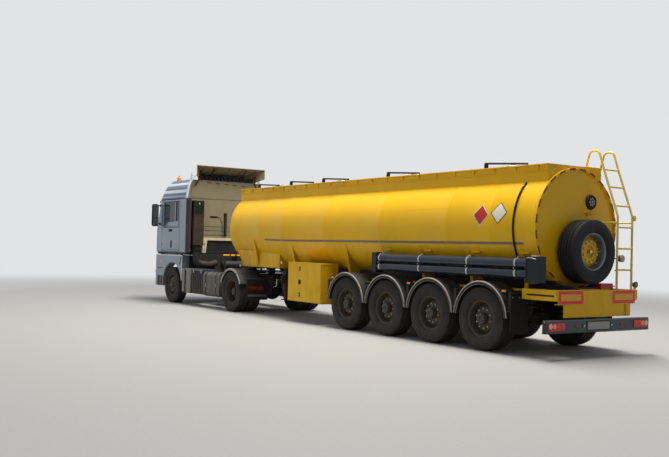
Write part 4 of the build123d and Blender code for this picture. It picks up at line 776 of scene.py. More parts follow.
def build_tank(scene):
    weld = scene.lorry_sizes.weld
    steps = 160
    form = Form()

    def circle(x, z, radius):
        return [(x, radius * cos(2 * pi * k / steps), z + radius * sin(2 * pi * k / steps)) for k in range(steps)]

    rows = []
    bulge = [(0.0, -7.275), (0.15, -7.2746), (0.3, -7.2738), (0.5, -7.2625), (0.7, -7.2505), (0.85, -7.239),
        (0.93, -7.231), (0.958, -7.2262)]
    rows += [circle(x, TANK_Z, max(r, 0.0004)) for r, x in bulge]
    rows += [circle(-7.228, TANK_Z, 0.965), circle(-7.2575, TANK_Z, 0.966), circle(-7.26, TANK_Z, 0.97),
        circle(-7.26, TANK_Z, 0.996), circle(-7.257, TANK_Z, 1.0)]
    rings = (-7.19, -6.2, -5.1, -3.1, -1.1, 0.7, 1.75, 3.2)
    xs = sorted({-7.15, 3.27, 3.285} | {x + d for x in rings for d in (-0.012, -0.006, 0.0, 0.006, 0.012)} | {-4.1,
        -2.1, -0.2, 1.2, 2.4})
    for x in xs:
        z, radius = tank_circle(x)
        near = min(abs(x - r) for r in rings)
        rows.append(circle(x, z, radius + (weld if near < 0.001 else weld * 0.6 if near < 0.007 else 0)))
    z, radius = tank_circle(RIM_X)
    for k in range(1, 6):
        angle = radians(90 * k / 6)
        rows.append(circle(RIM_X + 0.06 * sin(angle), z, radius - 0.06 * (1 - cos(angle))))
    ball = (0.905 ** 2 + 0.17 ** 2) / (2 * 0.17)
    for r in (0.905, 0.88, 0.82, 0.7, 0.5, 0.3, 0.12, 0.0004):
        rows.append(circle(RIM_X + 0.23 - ball + sqrt(ball * ball - r * r), z, r))
    form.skin(rows, loop=True)
    # seams along the drum where its sheets meet
    for low, high, angle in ((-7.1, -5.1, 52), (-5.1, -3.1, 20), (-3.1, -1.1, 55), (-1.1, 0.7, 16)):
        for a in (angle, 180 - angle):
            form.skin([[on_tank(x, a + d, lift) for d, lift in ((-0.5, 0.0), (0, 0.0018), (0.5, 0.0))]
                for x in (low, high)])
    # gussets folded from sheet, with their foot flanges
    for x in GUSSETS:
        for side in (1, -1):
            if x > 0:
                form.plate([(side * y, z) for y, z in ((0.53, 1.147), (0.783, 1.147), (0.945, 1.8), (0.6, 1.49))],
                    "x", x - 0.008, x + 0.008)
                edge = [(side * y, z) for y, z in ((0.787, 1.147), (0.95, 1.8), (0.925, 1.82), (0.774, 1.147))]
                form.plate(edge, "x", x - 0.04, x + 0.04)
                continue
            outline = [(side * 0.53, 1.147), (side * 0.743, 1.147), (side * 0.743, 1.045), (side * 0.783, 1.045),
                (side * 0.8, 1.165), (side * 0.955, 1.8), (side * 0.6, 1.49),]
            form.plate(outline, "x", x - 0.008, x + 0.008)
            edge = [(side * 0.8, 1.165), (side * 0.955, 1.8), (side * 0.935, 1.82), (side * 0.785, 1.165)]
            form.plate(edge, "x", x - 0.035, x + 0.035)
            form.plate([(side * 0.785, 1.045), (side * 0.8, 1.045), (side * 0.8, 1.166), (side * 0.785, 1.166)], "x",
                x - 0.035, x + 0.035)
    # skirts under the tank's front, with folded edges and the sloping plates between them
    since = len(form.faces)
    form.plate([(1.04, 1.1465), (2.93, 1.1465), (2.93, 1.3), (3.16, 1.6), (1.04, 1.6)], "y", 0.774, 0.786)
    form.plate([(2.922, 1.1465), (2.94, 1.1465), (2.94, 1.297), (3.172, 1.6), (3.146, 1.6), (2.922, 1.304)], "y",
        0.762, 0.8)
    form.block(1.04, 2.93, 0.762, 0.794, 1.1463, 1.156)
    form.plate([(2.918, 1.1465), (2.93, 1.1465), (2.93, 1.3), (3.16, 1.6), (3.145, 1.6), (2.918, 1.304)], "y", 0.53,
        0.778)
    form.block(1.036, 1.048, 0.53, 0.786, 1.1465, 1.5)
    form.mirror(since)
    # side rails with their end lugs
    since = len(form.faces)
    form.blocks((-6.96, -1.48, 0.77, 0.796, 1.025, 1.065), (-6.96, -1.48, 0.74, 0.796, 1.06, 1.066))
    form.mirror(since)
    for x in MANHOLES:
        form.turned(((2.95, 0.255), (3.13, 0.255), (3.134, 0.268), (3.158, 0.268), (3.16, 0.262), (3.16, 0.0001)),
            (x, 0, 0), "z", 64)
        form.turned(((3.075, 0.256), (3.077, 0.262), (3.089, 0.262), (3.091, 0.256)), (x, 0, 0), "z", 64)
    piece("tank_dressed", form, "trailer", ("tank paint",), smooth=28, replaces=("tank",))

    marks = Form()
    # stripe along both flanks
    for mirror in (False, True):
        rows = []
        for x in [-6.98 + 0.34 * k for k in range(26)]:
            angles = (-17.6, -16.9, -16.2, -15.5, -14.9)
            rows.append([on_tank(x, (180 - a) if mirror else a, 0.0016) for a in angles])
        marks.skin(rows, 0)
    # contour dashes round the rear rim
    for n in range(24):
        rows = []
        for radius in (0.9645, 0.9995):
            rows.append([(-7.2613, radius * cos(radians(a)), TANK_Z + radius * sin(radians(a)))
                for a in [15 * n + 3 + 8.5 * t / 5 for t in range(6)]])
        marks.skin(rows, 1)
    piece("tank_marks", marks, "trailer", ("stripe", "marker brown", "marker yellow"))

    boards = Form()
    for x, angle, border, filling in ((-5.99, 11.5, 1, 0), (-6.42, 13.2, 2, 1)):
        for size, lift, finish_no in ((0.19, 0.003, border), (0.172, 0.0042, filling)):
            for a_sign in (1, -1):
                rows = []
                for k in range(-6, 7):
                    v = size * k / 6
                    reach = (size - abs(v)) + 0.0005
                    a = angle + degrees(v / TANK_R)
                    a = a if a_sign > 0 else 180 - a
                    rows.append([on_tank(x - reach, a, lift), on_tank(x, a, lift), on_tank(x + reach, a, lift)])
                boards.skin(rows, finish_no)
    piece("diamond_boards", boards, "trailer", ("signal red", "marker white", "black plastic"))

    head = Form()
    # breather with its ribbed cowl on the rear head, and a bracket below it
    head.turned(((-7.268, 0.128), (-7.285, 0.125), (-7.3, 0.116), (-7.303, 0.098), (-7.29, 0.093), (-7.288, 0.0001)),
        (0, -0.317, 2.535), "x", 48, 0)
    for n in range(7):
        angle = 2 * pi * n / 7
        y, z = 0.057 * cos(angle), 0.057 * sin(angle)
        head.rod((-7.289, -0.317 + y, 2.535 + z), "x", -0.016, 0.004, 0.018, 14, 3)
    head.rod((-7.289, -0.317, 2.535), "x", -0.022, 0.004, 0.023, 18, 3)
    head.blocks((-7.3, -7.262, -0.33, -0.145, 2.338, 2.352, 2), (-7.3, -7.262, -0.235, -0.215, 2.3, 2.365, 2))
    piece("rear_head_fittings", head, "trailer",
        ("black plastic", "bright steel", "frame yellow", "dull aluminium"), bevel=0.0015)


def build_tank_top():
    form = Form()
    form.pipe([(-7.2, 0.672, 3.118), (3.29, 0.672, 3.118)], 0.0115, 10)
    for n in range(21):
        x = -7.0 + n * 0.51
        form.plate([(0.656, 3.015), (0.69, 3.112), (0.656, 3.12)], "x", x - 0.004, x + 0.004)
    for n in range(70):
        x = -7.12 + n * 0.15
        form.block(x, x + 0.09, 0.36, 0.6, 3.0752, 3.079)
    form.mirror()
    piece("coaming_ribs", form, "trailer", ("frame yellow",), bevel=0.002)

    form = Form()
    for x in (2.44, 0.9, -0.5, -2.88, -5.71):
        form.pipe([(x, 0.617, 3.222), (x - 0.03, 0.617, 3.2205), (x - 0.97, 0.617, 3.158), (x - 1.0, 0.617, 3.155)],
            0.017)
        form.block(x - 0.035, x + 0.015, 0.585, 0.642, 3.08, 3.23)
        form.rod((x - 0.01, 0.617, 3.215), "y", -0.038, 0.036, 0.011, 10, 1)
    form.pipe([(2.4, 0.6, 3.115), (-6.8, 0.6, 3.115)], 0.01, 8)
    piece("folded_handrail", form, "trailer", ("black plastic", "bright steel"), bevel=0.002)

    for n, x in enumerate(MANHOLES, start=1):
        lid = Form()
        lid.turned(((3.1605, 0.0001), (3.1605, 0.268), (3.163, 0.272), (3.18, 0.272), (3.1865, 0.266),
            (3.1865, 0.235), (3.18, 0.228), (3.18, 0.168), (3.186, 0.16), (3.2085, 0.15), (3.218, 0.138),
            (3.218, 0.0001)), (x, 0, 0), "z", 56, 0)
        for k in range(12):
            angle = 2 * pi * (k + 0.5) / 12
            lid.rod((x + 0.25 * cos(angle), 0.25 * sin(angle), 3.1865), "z", -0.004, 0.008, 0.01, 6, 1)
        lid.block(x - 0.294, x - 0.24, -0.04, 0.04, 3.166, 3.186)
        lid.turned(((-0.04, 0.0085), (-0.04, 0.018), (0.04, 0.018), (0.04, 0.0085)), (x - 0.294, 0, 3.18), "y", 20, 0)
        lid.block(x + 0.245, x + 0.312, -0.014, 0.014, 3.166, 3.186)
        lid.pipe(rounded([(x + 0.02, -0.06, 3.214), (x + 0.02, -0.06, 3.24), (x + 0.02, 0.06, 3.24),
            (x + 0.02, 0.06, 3.214)], 0.015), 0.007, 8, 1)
        piece(f"manhole_lid_{n}_dressed", lid, f"manhole_lid_{n}",
            ("dull aluminium", "bright steel"), bevel=0.0012, replaces=(f"manhole_lid_{n}",))


def build_rear_end(scene):
    tube = scene.lorry_sizes.ladder_tube
    form = Form()
    for y in (-0.53, -0.91):
        form.pipe(rounded([(-7.66, y, 1.082), (-7.66, y, 2.31), (-7.36, y, 3.11), (-7.25, y, 3.43), (-7.06, y, 3.43),
            (-6.984, y, 3.162)], 0.11, 8), tube, 16)
        form.turned(((1.0815, 0.036), (1.0885, 0.036), (1.0885, 0.0001)), (-7.66, y, 0), "z", 20)
        for z, x1 in ((1.4, -7.62), (2.2, -7.21)):
            form.rod((-7.66, y, z), "x", 0, x1 + 7.66, 0.012, 12)
    for x, z in ((-7.66, 1.41), (-7.66, 1.765), (-7.66, 2.12), (-7.596, 2.48), (-7.476, 2.8), (-7.364, 3.1)):
        form.rod((x, -0.72, z), "y", -0.19, 0.19, 0.0145, 14)
        for k in range(9):
            form.turned(((-0.006, 0.0145), (-0.004, 0.0168), (0.004, 0.0168), (0.006, 0.0145)),
                (x, -0.88 + 0.04 * k, z), "y", 12)
    form.rod((-6.984, -0.72, 3.162), "y", -0.19, 0.19, 0.014, 12)
    form.block(-7.009, -6.959, -0.67, -0.63, 3.1305, 3.162)
    # hook for the tank's earth lead on the right rail
    form.blocks((-7.69, -7.64, -0.965, -0.925, 2.235, 2.325), (-7.7, -7.63, -0.985, -0.93, 2.27, 2.284))
    # the ladder's lighter yellow is painted sunlight
    piece("ladder_dressed", form, "trailer", ("ladder lit yellow",), bevel=0.001, smooth=40,
        replaces=("ladder",))

    form = Form()
    y0, y1 = sorted((0.36, 0.935))
    form.blocks((-7.7195, -7.717, y0, y1, 0.862, 1.072, 1), (-7.7205, -7.7195, y0 + 0.055, y1 - 0.055, 0.917, 1.017,
        2))
    for y in (y0 + 0.018, y1 - 0.018):
        for z in (0.878, 1.056):
            form.rod((-7.72, y, z), "x", -0.0025, 0.001, 0.005, 8, 3)
    form.mirror()
    form.blocks((-7.7195, -7.717, -0.8, 0.8, 0.662, 0.668), (-7.7215, -7.717, -0.8, -0.6, 0.672, 0.845),
        (-7.7215, -7.717, 0.6, 0.8, 0.672, 0.845), (-7.721, -7.717, -0.55, 0.55, 0.69, 0.83))
    for y in (-0.7, -0.66):
        form.block(-7.7235, -7.717, y, y + 0.012, 0.66, 0.85, 4)
    since = len(form.faces)
    y = 1.0005
    form.block(-7.68, -7.1, 1.0, 1.0022, 0.975, 1.005, 4)
    form.mirror(since)
    # shelf and red box under the spare wheel
    form.blocks((-7.66, -7.34, -0.36, 0.36, 1.082, 1.094), (-7.64, -7.46, -0.46, -0.16, 1.0945, 1.185, 5),
        (-7.645, -7.455, -0.465, -0.155, 1.17, 1.178, 5))
    # round smoky lamp on the ladder's foot
    form.block(-7.66, -7.62, -1.037, -1.021, 1.0815, 1.15)
    form.turned(((-7.62, 0.045), (-7.655, 0.05), (-7.668, 0.046), (-7.672, 0.0001)), (0, -1.033, 1.165), "x", 28, 6)
    form.turned(((-7.655, 0.051), (-7.667, 0.053), (-7.669, 0.045)), (0, -1.033, 1.165), "x", 28, 4)
    form.turned(((-7.6, 0.055), (-7.655, 0.062), (-7.668, 0.055), (-7.672, 0.0001)), (0, -0.67, 1.6), "x", 28, 7)
    form.pipe([(-7.6, -0.67, 1.6), (-7.6, -0.54, 1.6)], 0.01, 8, 4)
    piece("rear_boards", form, "trailer", ("frame yellow", "marker red", "marker yellow",
        "bright steel", "chassis paint", "signal red", "lens smoke", "dull aluminium"), bevel=0.0008)

    form = Form()
    face = -7.765
    outline = [(face, 0.425), (face, 0.605), (face + 0.012, 0.62), (face + 0.09, 0.62), (face + 0.09, 0.608),
        (face + 0.02, 0.608), (face + 0.014, 0.6), (face + 0.014, 0.43), (face + 0.02, 0.422), (face + 0.09, 0.422),
        (face + 0.09, 0.41), (face + 0.012, 0.41),]
    form.plate(outline, "y", -1.25, 1.25)
    since = len(form.faces)
    form.plate([(face + 0.001, 0.424), (face + 0.001, 0.606), (face + 0.09, 0.619), (face + 0.09, 0.411)], "y", 1.242,
        1.2499, 1)
    form.blocks((face + 0.013, -7.56, 0.43, 0.51, 0.5, 0.56, 2), (-7.6, -7.56, 0.43, 0.51, 0.5, 0.9297, 2))
    form.mirror(since)
    form.plate(round_box(0.58, 0.15, 0.012, centre=(0.04, 0.52)), "x", face - 0.006, face, 3)
    form.plate(round_box(0.53, 0.118, 0.01, centre=(0.04, 0.518)), "x", face - 0.009, face - 0.006, 4)
    for y in (0.37, -0.3):
        form.blocks((face - 0.012, face, y, y + 0.05, 0.5, 0.54, 3),
            (face - 0.014, face - 0.011, y + 0.006, y + 0.044, 0.507, 0.533, 6))
    for y in (-0.52, 0.56):
        form.rod((face, y, 0.52), "x", -0.012, 0, 0.02, 20, 5)
    for side in (1, -1):
        form.rod((face + 0.05, side * 1.262 - side * 0.02, 0.6), "y", -0.004, 0.008, 0.02, 16, 4)
    piece("light_bar_dressed", form, "trailer",
        ("bar grey", "black plastic", "chassis paint", "black plastic", "blank plate", "signal red", "lamp clear"),
        bevel=0.002, replaces=("light_bar",))

    form = Form()
    for side in (1, -1):
        y = side * 1.035
        form.pad(0.39, 0.13, 0.02, (y, 0.52), -7.772, -7.765)
        form.pad(0.384, 0.124, 0.018, (y, 0.52), -7.7785, -7.772, 1)
        # chambers of the lens: stop, tail, indicator and reversing lamps
        for shift, finish in ((-0.135, 1), (-0.045, 1), (0.045, 2), (0.135, 3)):
            shift = shift * side
            form.turned(((-7.7785, 0.04), (-7.7798, 0.038), (-7.78, 0.02), (-7.78, 0.0001)), (0, y + shift, 0.528),
                "x", 28, finish)
            form.block(-7.7795, -7.778, y + shift - 0.041, y + shift - 0.039, 0.466, 0.574)
        form.block(-7.7797, -7.778, y - 0.16, y + 0.16, 0.464, 0.478, 5)
    piece("rear_lamps_dressed", form, "trailer", ("black plastic", "lamp red", "lamp amber", "lamp clear",
        "lamp amber", "marker red"), smooth=40, replaces=("rear_lamps",))


def build_hose_tubes():
    form = Form()
    y = TUBE_Y
    for z in TUBE_Z:
        profile = [(-7.22, 0.0825)]
        for x in (-7.0, -3.55, -3.5, -3.45, -3.4):
            profile += [(x - 0.012, 0.0825), (x - 0.01, 0.0855), (x + 0.01, 0.0855), (x + 0.012, 0.0825)]
        profile += [(-3.26, 0.0825)]
        form.turned(profile, (0, y, z), "x")
        form.turned(((-3.27, 0.0832), (-3.268, 0.088), (-3.24, 0.088)), (0, y, z), "x", 48, 1)
    form.blocks((-7.48, -7.222, 0.985, 1.155, 1.19, 1.6, 1), (-7.486, -7.47, 0.979, 1.161, 1.184, 1.606, 1),
        (-7.234, -7.216, 0.979, 1.161, 1.184, 1.606, 1))
    form.plate([(-7.4, 1.6), (-7.27, 1.6), (-7.3, 1.625), (-7.37, 1.625)], "y", 1.03, 1.1, 3)
    form.pipe([(-7.44, 1.162, 1.56), (-7.3, 1.17, 1.585), (-7.24, 1.17, 1.575)], 0.008, 8, 3)
    form.blocks((-3.26, -3.12, 0.985, 1.155, 1.215, 1.595, 1), (-3.266, -3.25, 0.979, 1.161, 1.209, 1.601, 1),
        (-3.14, -3.112, 1.0, 1.14, 1.32, 1.4, 1))
    for x in (-3.34, -4.54, -5.83, -6.96):
        form.blocks((x - 0.03, x + 0.03, 0.62, 0.99, 1.385, 1.425, 2),
            (x - 0.035, x + 0.035, 0.975, 0.988, 1.228, 1.588, 2))
        for z in TUBE_Z:
            form.turned(((x - 0.018, 0.0835), (x - 0.017, 0.0865), (x + 0.017, 0.0865), (x + 0.018, 0.0835)),
                (0, y, z), "x", 48, 3)
        form.block(x - 0.016, x + 0.016, 1.125, 1.16, 1.395, 1.42, 2)
        form.rod((x, 1.155, 1.408), "y", -0.01, 0.012, 0.012, 6, 3)
        form.rod((x, 1.06, 1.582), "z", -0.01, 0.022, 0.012, 6, 3)
        form.block(x - 0.1, x + 0.1, 0.905, 0.935, 1.64, 1.672, 4)
    piece("hose_tubes_dressed", form, "trailer",
        ("tube plastic", "tube end", "chassis paint", "bright steel", "frame yellow"), bevel=0.002,
        replaces=("hose_tubes",))

    form = Form()
    path = [(-6.765, 0.7, 2.838)]
    for angle in range(43, 128, 4):
        a = radians(angle)
        path.append((-6.765 - 0.02 * sin(radians((angle - 43) * 2.1)), 1.0175 * sin(a), TANK_Z + 1.0175 * cos(a)))
    form.pipe(path[1:], 0.016, 14)
    for angle in (48, 72, 100, 122):
        a = radians(angle)
        centre = Vector((-6.765, 1.018 * sin(a), TANK_Z + 1.018 * cos(a)))
        along = Vector((0, cos(a), -sin(a)))
        form.pipe([centre - along * 0.008, centre + along * 0.008], 0.019, 14, 1)
    piece("drain_hose_dressed", form, "trailer", ("hose rubber", "bright steel"),
        replaces=("drain_hose",))


def build_cabinets():
    for title, side in (("left", 1), ("right", -1)):
        form = Form()
        x0, x1, z0, z1 = -1.374, -0.037, 0.46, 1.315
        form.blocks((x0, x1, 1.1803, 1.1975, z0, z1), (x0 + 0.01, x1 - 0.01, 1.1975, 1.2, z0 + 0.01, z1 - 0.01),
            (x0, x1, 1.1975, 1.2008, z1 - 0.014, z1), side=side)
        # round centre latch in its dish, with a turned grip
        form.turned(((1.1995, 0.058), (1.2045, 0.056), (1.2045, 0.047), (1.2005, 0.042), (1.2005, 0.0001)),
            (-0.528, 0, 0.89), "y", 36, 1, side=side)
        form.blocks((-0.54, -0.516, 1.2003, 1.2155, 0.856, 0.924, 1), (-0.56, -0.496, 1.2003, 1.208, 0.882, 0.898, 1),
            side=side)
        for z in (0.61, 1.185):
            form.blocks((-0.555, -0.501, 1.1995, 1.2075, z - 0.045, z + 0.045, 1),
                (-0.545, -0.511, 1.207, 1.213, z - 0.014, z + 0.014, 2), side=side)
        for z in (0.6, 0.89, 1.18):
            form.rod((-1.376, side * 1.203, z), "z", -0.045, 0.045, 0.0065, 12, 2)
        piece(f"cabinet_door_{title}_dressed", form, f"cabinet_door_{title}",
            ("frame yellow", "black plastic", "bright steel"), bevel=0.003, replaces=(f"cabinet_door_{title}",))

        form = Form()
        # drip strip on top, and ribs pressed into the end walls
        form.blocks((-1.389, -0.03, 0.76, 1.204, 1.3152, 1.3215), (-1.389, -1.379, 0.76, 1.204, 1.285, 1.3215),
            side=side)
        for y in (0.9, 1.02, 1.12):
            form.blocks((-1.3835, -1.379, y, y + 0.018, 0.5, 1.27), (-0.037, -0.0325, y, y + 0.018, 0.5, 1.27),
                side=side)
        form.block(-1.36, -0.06, 0.8, 1.15, 0.446, 0.4598, 1, side=side)
        piece(f"cabinet_trim_{title}", form, "trailer", ("frame yellow", "chassis paint"), bevel=0.002)

        # valves and couplings inside, seen when the door is open
        form = Form()
        for n in range(4):
            x = -1.15 + 0.3 * n
            form.turned(((0.771, 0.05), (0.9, 0.05), (0.905, 0.075), (0.925, 0.075), (0.93, 0.055), (0.98, 0.055),
                (0.985, 0.048), (0.985, 0.0001)), (x, 0, 0.72), "y", 28, side=side)
            form.rod((x, side * 0.9, 0.72), "z", 0.05, 0.24, 0.03, 20)
            form.block(x - 0.012, x + 0.012, 0.89, 1.0, 0.93, 0.944, 1, side=side)
        piece(f"cabinet_valves_{title}", form, "trailer", ("dull aluminium", "signal red"),
            bevel=0.0015)


def guard(form, section, centre, start, stop, steps, side, pale):
    """Mudguard round a wheel at centre (x, z) from its section (y, radius); pale are its faces of finish 1."""
    rows = []
    for k in range(steps + 1):
        a = radians(start + (stop - start) * k / steps)
        rows.append([(centre[0] - r * cos(a), side * y, centre[1] + r * sin(a)) for y, r in section])
    first = len(form.faces)
    form.skin(rows, loop=True, ends=True)
    for f in range(first, len(form.faces) - 2):
        if (f - first) % len(section) in pale:
            form.finishes[f] = 1


def build_mudguards():
    form = Form()
    for side in (1, -1):
        for x in TRAILER_AXLES:
            # the rolled lip's pale faces are a painted highlight
            section = [(0.815, 0.622), (0.815, 0.59), (0.821, 0.59), (0.823, 0.618), (0.9, 0.62), (0.93, 0.628),
                (1.13, 0.628), (1.16, 0.62), (1.225, 0.619), (1.228, 0.576), (1.233, 0.572), (1.238, 0.576),
                (1.238, 0.618), (1.243, 0.624), (1.24, 0.634), (1.228, 0.638), (1.216, 0.632), (1.16, 0.627),
                (1.13, 0.635), (0.93, 0.635), (0.9, 0.627),]
            guard(form, section, (x, TRAILER_TYRE[0]), 5, 175, 40, side, (9, 10, 12, 13, 14, 15))
        for x in [TRAILER_AXLES[0] - 0.655] + [a + 0.655 for a in TRAILER_AXLES]:
            form.rod((x, side * 0.86, 0.99), "y", -0.345 if side < 0 else -0.3825, 0.3825 if side < 0 else 0.345,
                0.021, 16, 2)
            for y in (0.875, 1.185):
                form.block(x - 0.03, x + 0.03, y - 0.004, y + 0.004, 0.7, 0.985, 2, side=side)
            form.block(x - 0.062, x + 0.062, 0.83, 1.225, 0.692, 0.704, side=side)
        # rear flaps with a pressed rim
        x = TRAILER_AXLES[0] - 0.655 - 0.06
        form.pad(0.41, 0.63, 0.03, (side * 1.035, 0.645), x - 0.012, x, 3)
        form.pad(0.37, 0.1, 0.02, (side * 1.035, 0.4), x - 0.016, x, 3)
        for y in (0.88, 1.035, 1.19):
            form.rod((x - 0.012, side * y, 0.93), "x", -0.006, 0.002, 0.012, 10, 4)
    piece("mudguards_dressed", form, "trailer",
        ("guard black", "guard lip sheen and dust", "chassis paint", "hose rubber", "bright steel"), smooth=45,
        replaces=("trailer_mudguards",))

    form = Form()
    # reflective dots along the side rail, and the amber side lamps with their brackets
    for n in range(34):
        x = -6.9 + 0.16 * n
        form.block(x, x + 0.055, 0.796, 0.7985, 1.036, 1.054, 1)
    for x, zc in ((-6.8, 1.03), (-4.35, 1.045), (-1.84, 1.05)):
        form.block(x - 0.02, x + 0.02, 0.79, 1.19, zc - 0.022, zc - 0.012, 2)
        form.plate([(x - 0.055, zc - 0.022), (x + 0.055, zc - 0.022), (x + 0.048, zc + 0.02), (x - 0.048, zc + 0.02)],
            "y", 1.175, 1.205)
        form.plate([(x - 0.046, zc - 0.016), (x + 0.046, zc - 0.016), (x + 0.04, zc + 0.014), (x - 0.04, zc + 0.014)],
            "y", 1.205, 1.216, 3)
    # small pale lamps at both ends of the skirt
    for x, z in ((2.952, 1.152), (0.905, 1.285)):
        form.block(x - 0.012, x + 0.012, 0.775, 0.812, z - 0.012, z + 0.012, 2)
        form.turned(((0.8, 0.036), (0.815, 0.038), (0.826, 0.03), (0.83, 0.0001)), (x, 0, z), "y", 24, 1)
        form.turned(((0.798, 0.03), (0.798, 0.042), (0.812, 0.043), (0.814, 0.037)), (x, 0, z), "y", 24, 2)
    form.mirror()
    piece("side_markers", form, "trailer", ("black plastic", "marker white", "chassis paint", "lamp amber"),
        bevel=0.002)


def build_trailer_gear():
    form = Form()
    for x in TRAILER_AXLES:
        for side in (1, -1):
            bellows = [(0.641, 0.1)]
            for k in range(3):
                low = 0.66 + 0.08 * k
                bellows += [(low, 0.115), (low + 0.02, 0.1245), (low + 0.05, 0.1245), (low + 0.07, 0.112)]
            bellows += [(0.925, 0.1)]
            form.turned(bellows, (x - 0.33, side * 0.47, 0), "z", 32)
            form.rod((x + 0.1, side * 0.62, 0.44), "x", -0.02, 0.22, 0.085, 24, 1)
            form.rod((x + 0.32, side * 0.62, 0.44), "x", -0.01, 0.04, 0.092, 24, 1)
            form.rod((x + 0.16, side * 0.4, 0.6), "z", 0, 0.32, 0.03, 16, 1)
            form.turned(((0.655, 0.206), (0.66, 0.212), (0.7, 0.212), (0.705, 0.206)), (x, 0, 0.535), "y", 40, 2,
                side=side)
    for x0 in (-6.1, -4.8, -3.5, -2.2):
        form.pipe([(x0, 0.2, 1.03), (x0 + 0.5, 0.22, 1.0), (x0 + 1.1, 0.2, 1.03)], 0.012, 8)
    # air tanks and a valve rack across the frame
    for x in (-1.05, -0.62, 1.62):
        form.turned(((-0.36, 0.0001), (-0.36, 0.06), (-0.33, 0.11), (-0.3, 0.122), (0.3, 0.122), (0.33, 0.11),
            (0.36, 0.06), (0.36, 0.0001)), (x, 0, 0.79), "y", 32, 1)
    piece("running_gear", form, "trailer", ("hose rubber", "chassis paint", "cast iron"), smooth=40)

    form = Form()
    for z in (0.575, 0.8, 1.05):
        form.block(0.893, 1.037, 0.548, 0.692, z, z + 0.025)
    form.block(0.9, 1.03, 0.686, 0.7, 0.6, 1.02)
    form.mirror()
    form.block(0.86, 0.9, 0.7, 0.83, 0.8, 0.98)
    form.rod((0.88, 0.8, 0.88), "y", 0.02, 0.16, 0.014, 12, 1)
    form.pipe(rounded([(0.88, 0.95, 0.88), (0.88, 0.96, 0.72), (0.88, 1.04, 0.7)], 0.02), 0.011, 8, 1)
    form.block(0.9, 1.03, -0.56, 0.56, 0.86, 0.88)
    piece("landing_gear_trim", form, "trailer", ("chassis paint", "bright steel"), bevel=0.002)


# tractor


def cab_level(z):
    """How far forward the cab's front is at a height, its half width and the radius of its corners."""
    for (low, *a), (high, *b) in zip(CAB_LEVELS, CAB_LEVELS[1:]):
        if z <= high:
            share = (z - low) / (high - low)
            return [p + (q - p) * share for p, q in zip(a, b)]
    return CAB_LEVELS[-1][1:]


def cab_plan(z, rear, lift=0.0, steps=8, across=0.0):
    """Points of the cab's outline in plan at a height, from rear on its left side forward to across on its front."""
    nose, half, corner = cab_level(z)
    shoulder = nose - 0.045 - corner
    points = [(rear, half + lift), (shoulder, half + lift)]
    for k in range(1, steps + 1):
        angle = radians(90 - 90 * k / steps)
        points.append((shoulder + (corner + lift) * cos(angle), half - corner + (corner + lift) * sin(angle)))
    for k in range(1, steps + 1):
        y = (half - corner) + (across - half + corner) * k / steps
        points.append((nose + lift - 0.045 * (y / (half - corner)) ** 2, y))
    return [(x, y, z) for x, y in points]


def cushion(form, centre, size, turn=0.0, finish=0, crown=0.03, steps=14):
    """Padded form: crowned faces, and sides that draw in between its corners; turn leans it back."""
    rows = []
    half_x, half_y, half_z = (s / 2 for s in size)
    for face in (1, -1):
        for i in range(steps + 1):
            row = []
            for j in range(steps + 1):
                u, v = sin(pi * (i / steps - 0.5)), sin(pi * (j / steps - 0.5))
                draw = 1 - 0.05 * (1 - abs(v) ** 3) * abs(u) ** 6
                pull = 1 - 0.05 * (1 - abs(u) ** 3) * abs(v) ** 6
                fall = (1 - abs(u) ** 5) * (1 - abs(v) ** 5)
                groove = 0.006 * exp(-((v - 0.55) / 0.06) ** 2) + 0.006 * exp(-((v + 0.55) / 0.06) ** 2)
                high = (half_z * fall ** 0.28 + crown * fall - groove * fall) if face > 0 else half_z * fall ** 0.28
                x, y, z = u * half_x * draw, v * half_y * pull, face * high
                a = radians(turn)
                row.append((centre[0] + x * cos(a) - z * sin(a), centre[1] + y, centre[2] + x * sin(a) + z * cos(a)))
            rows.append(row)
        form.skin(rows, finish)


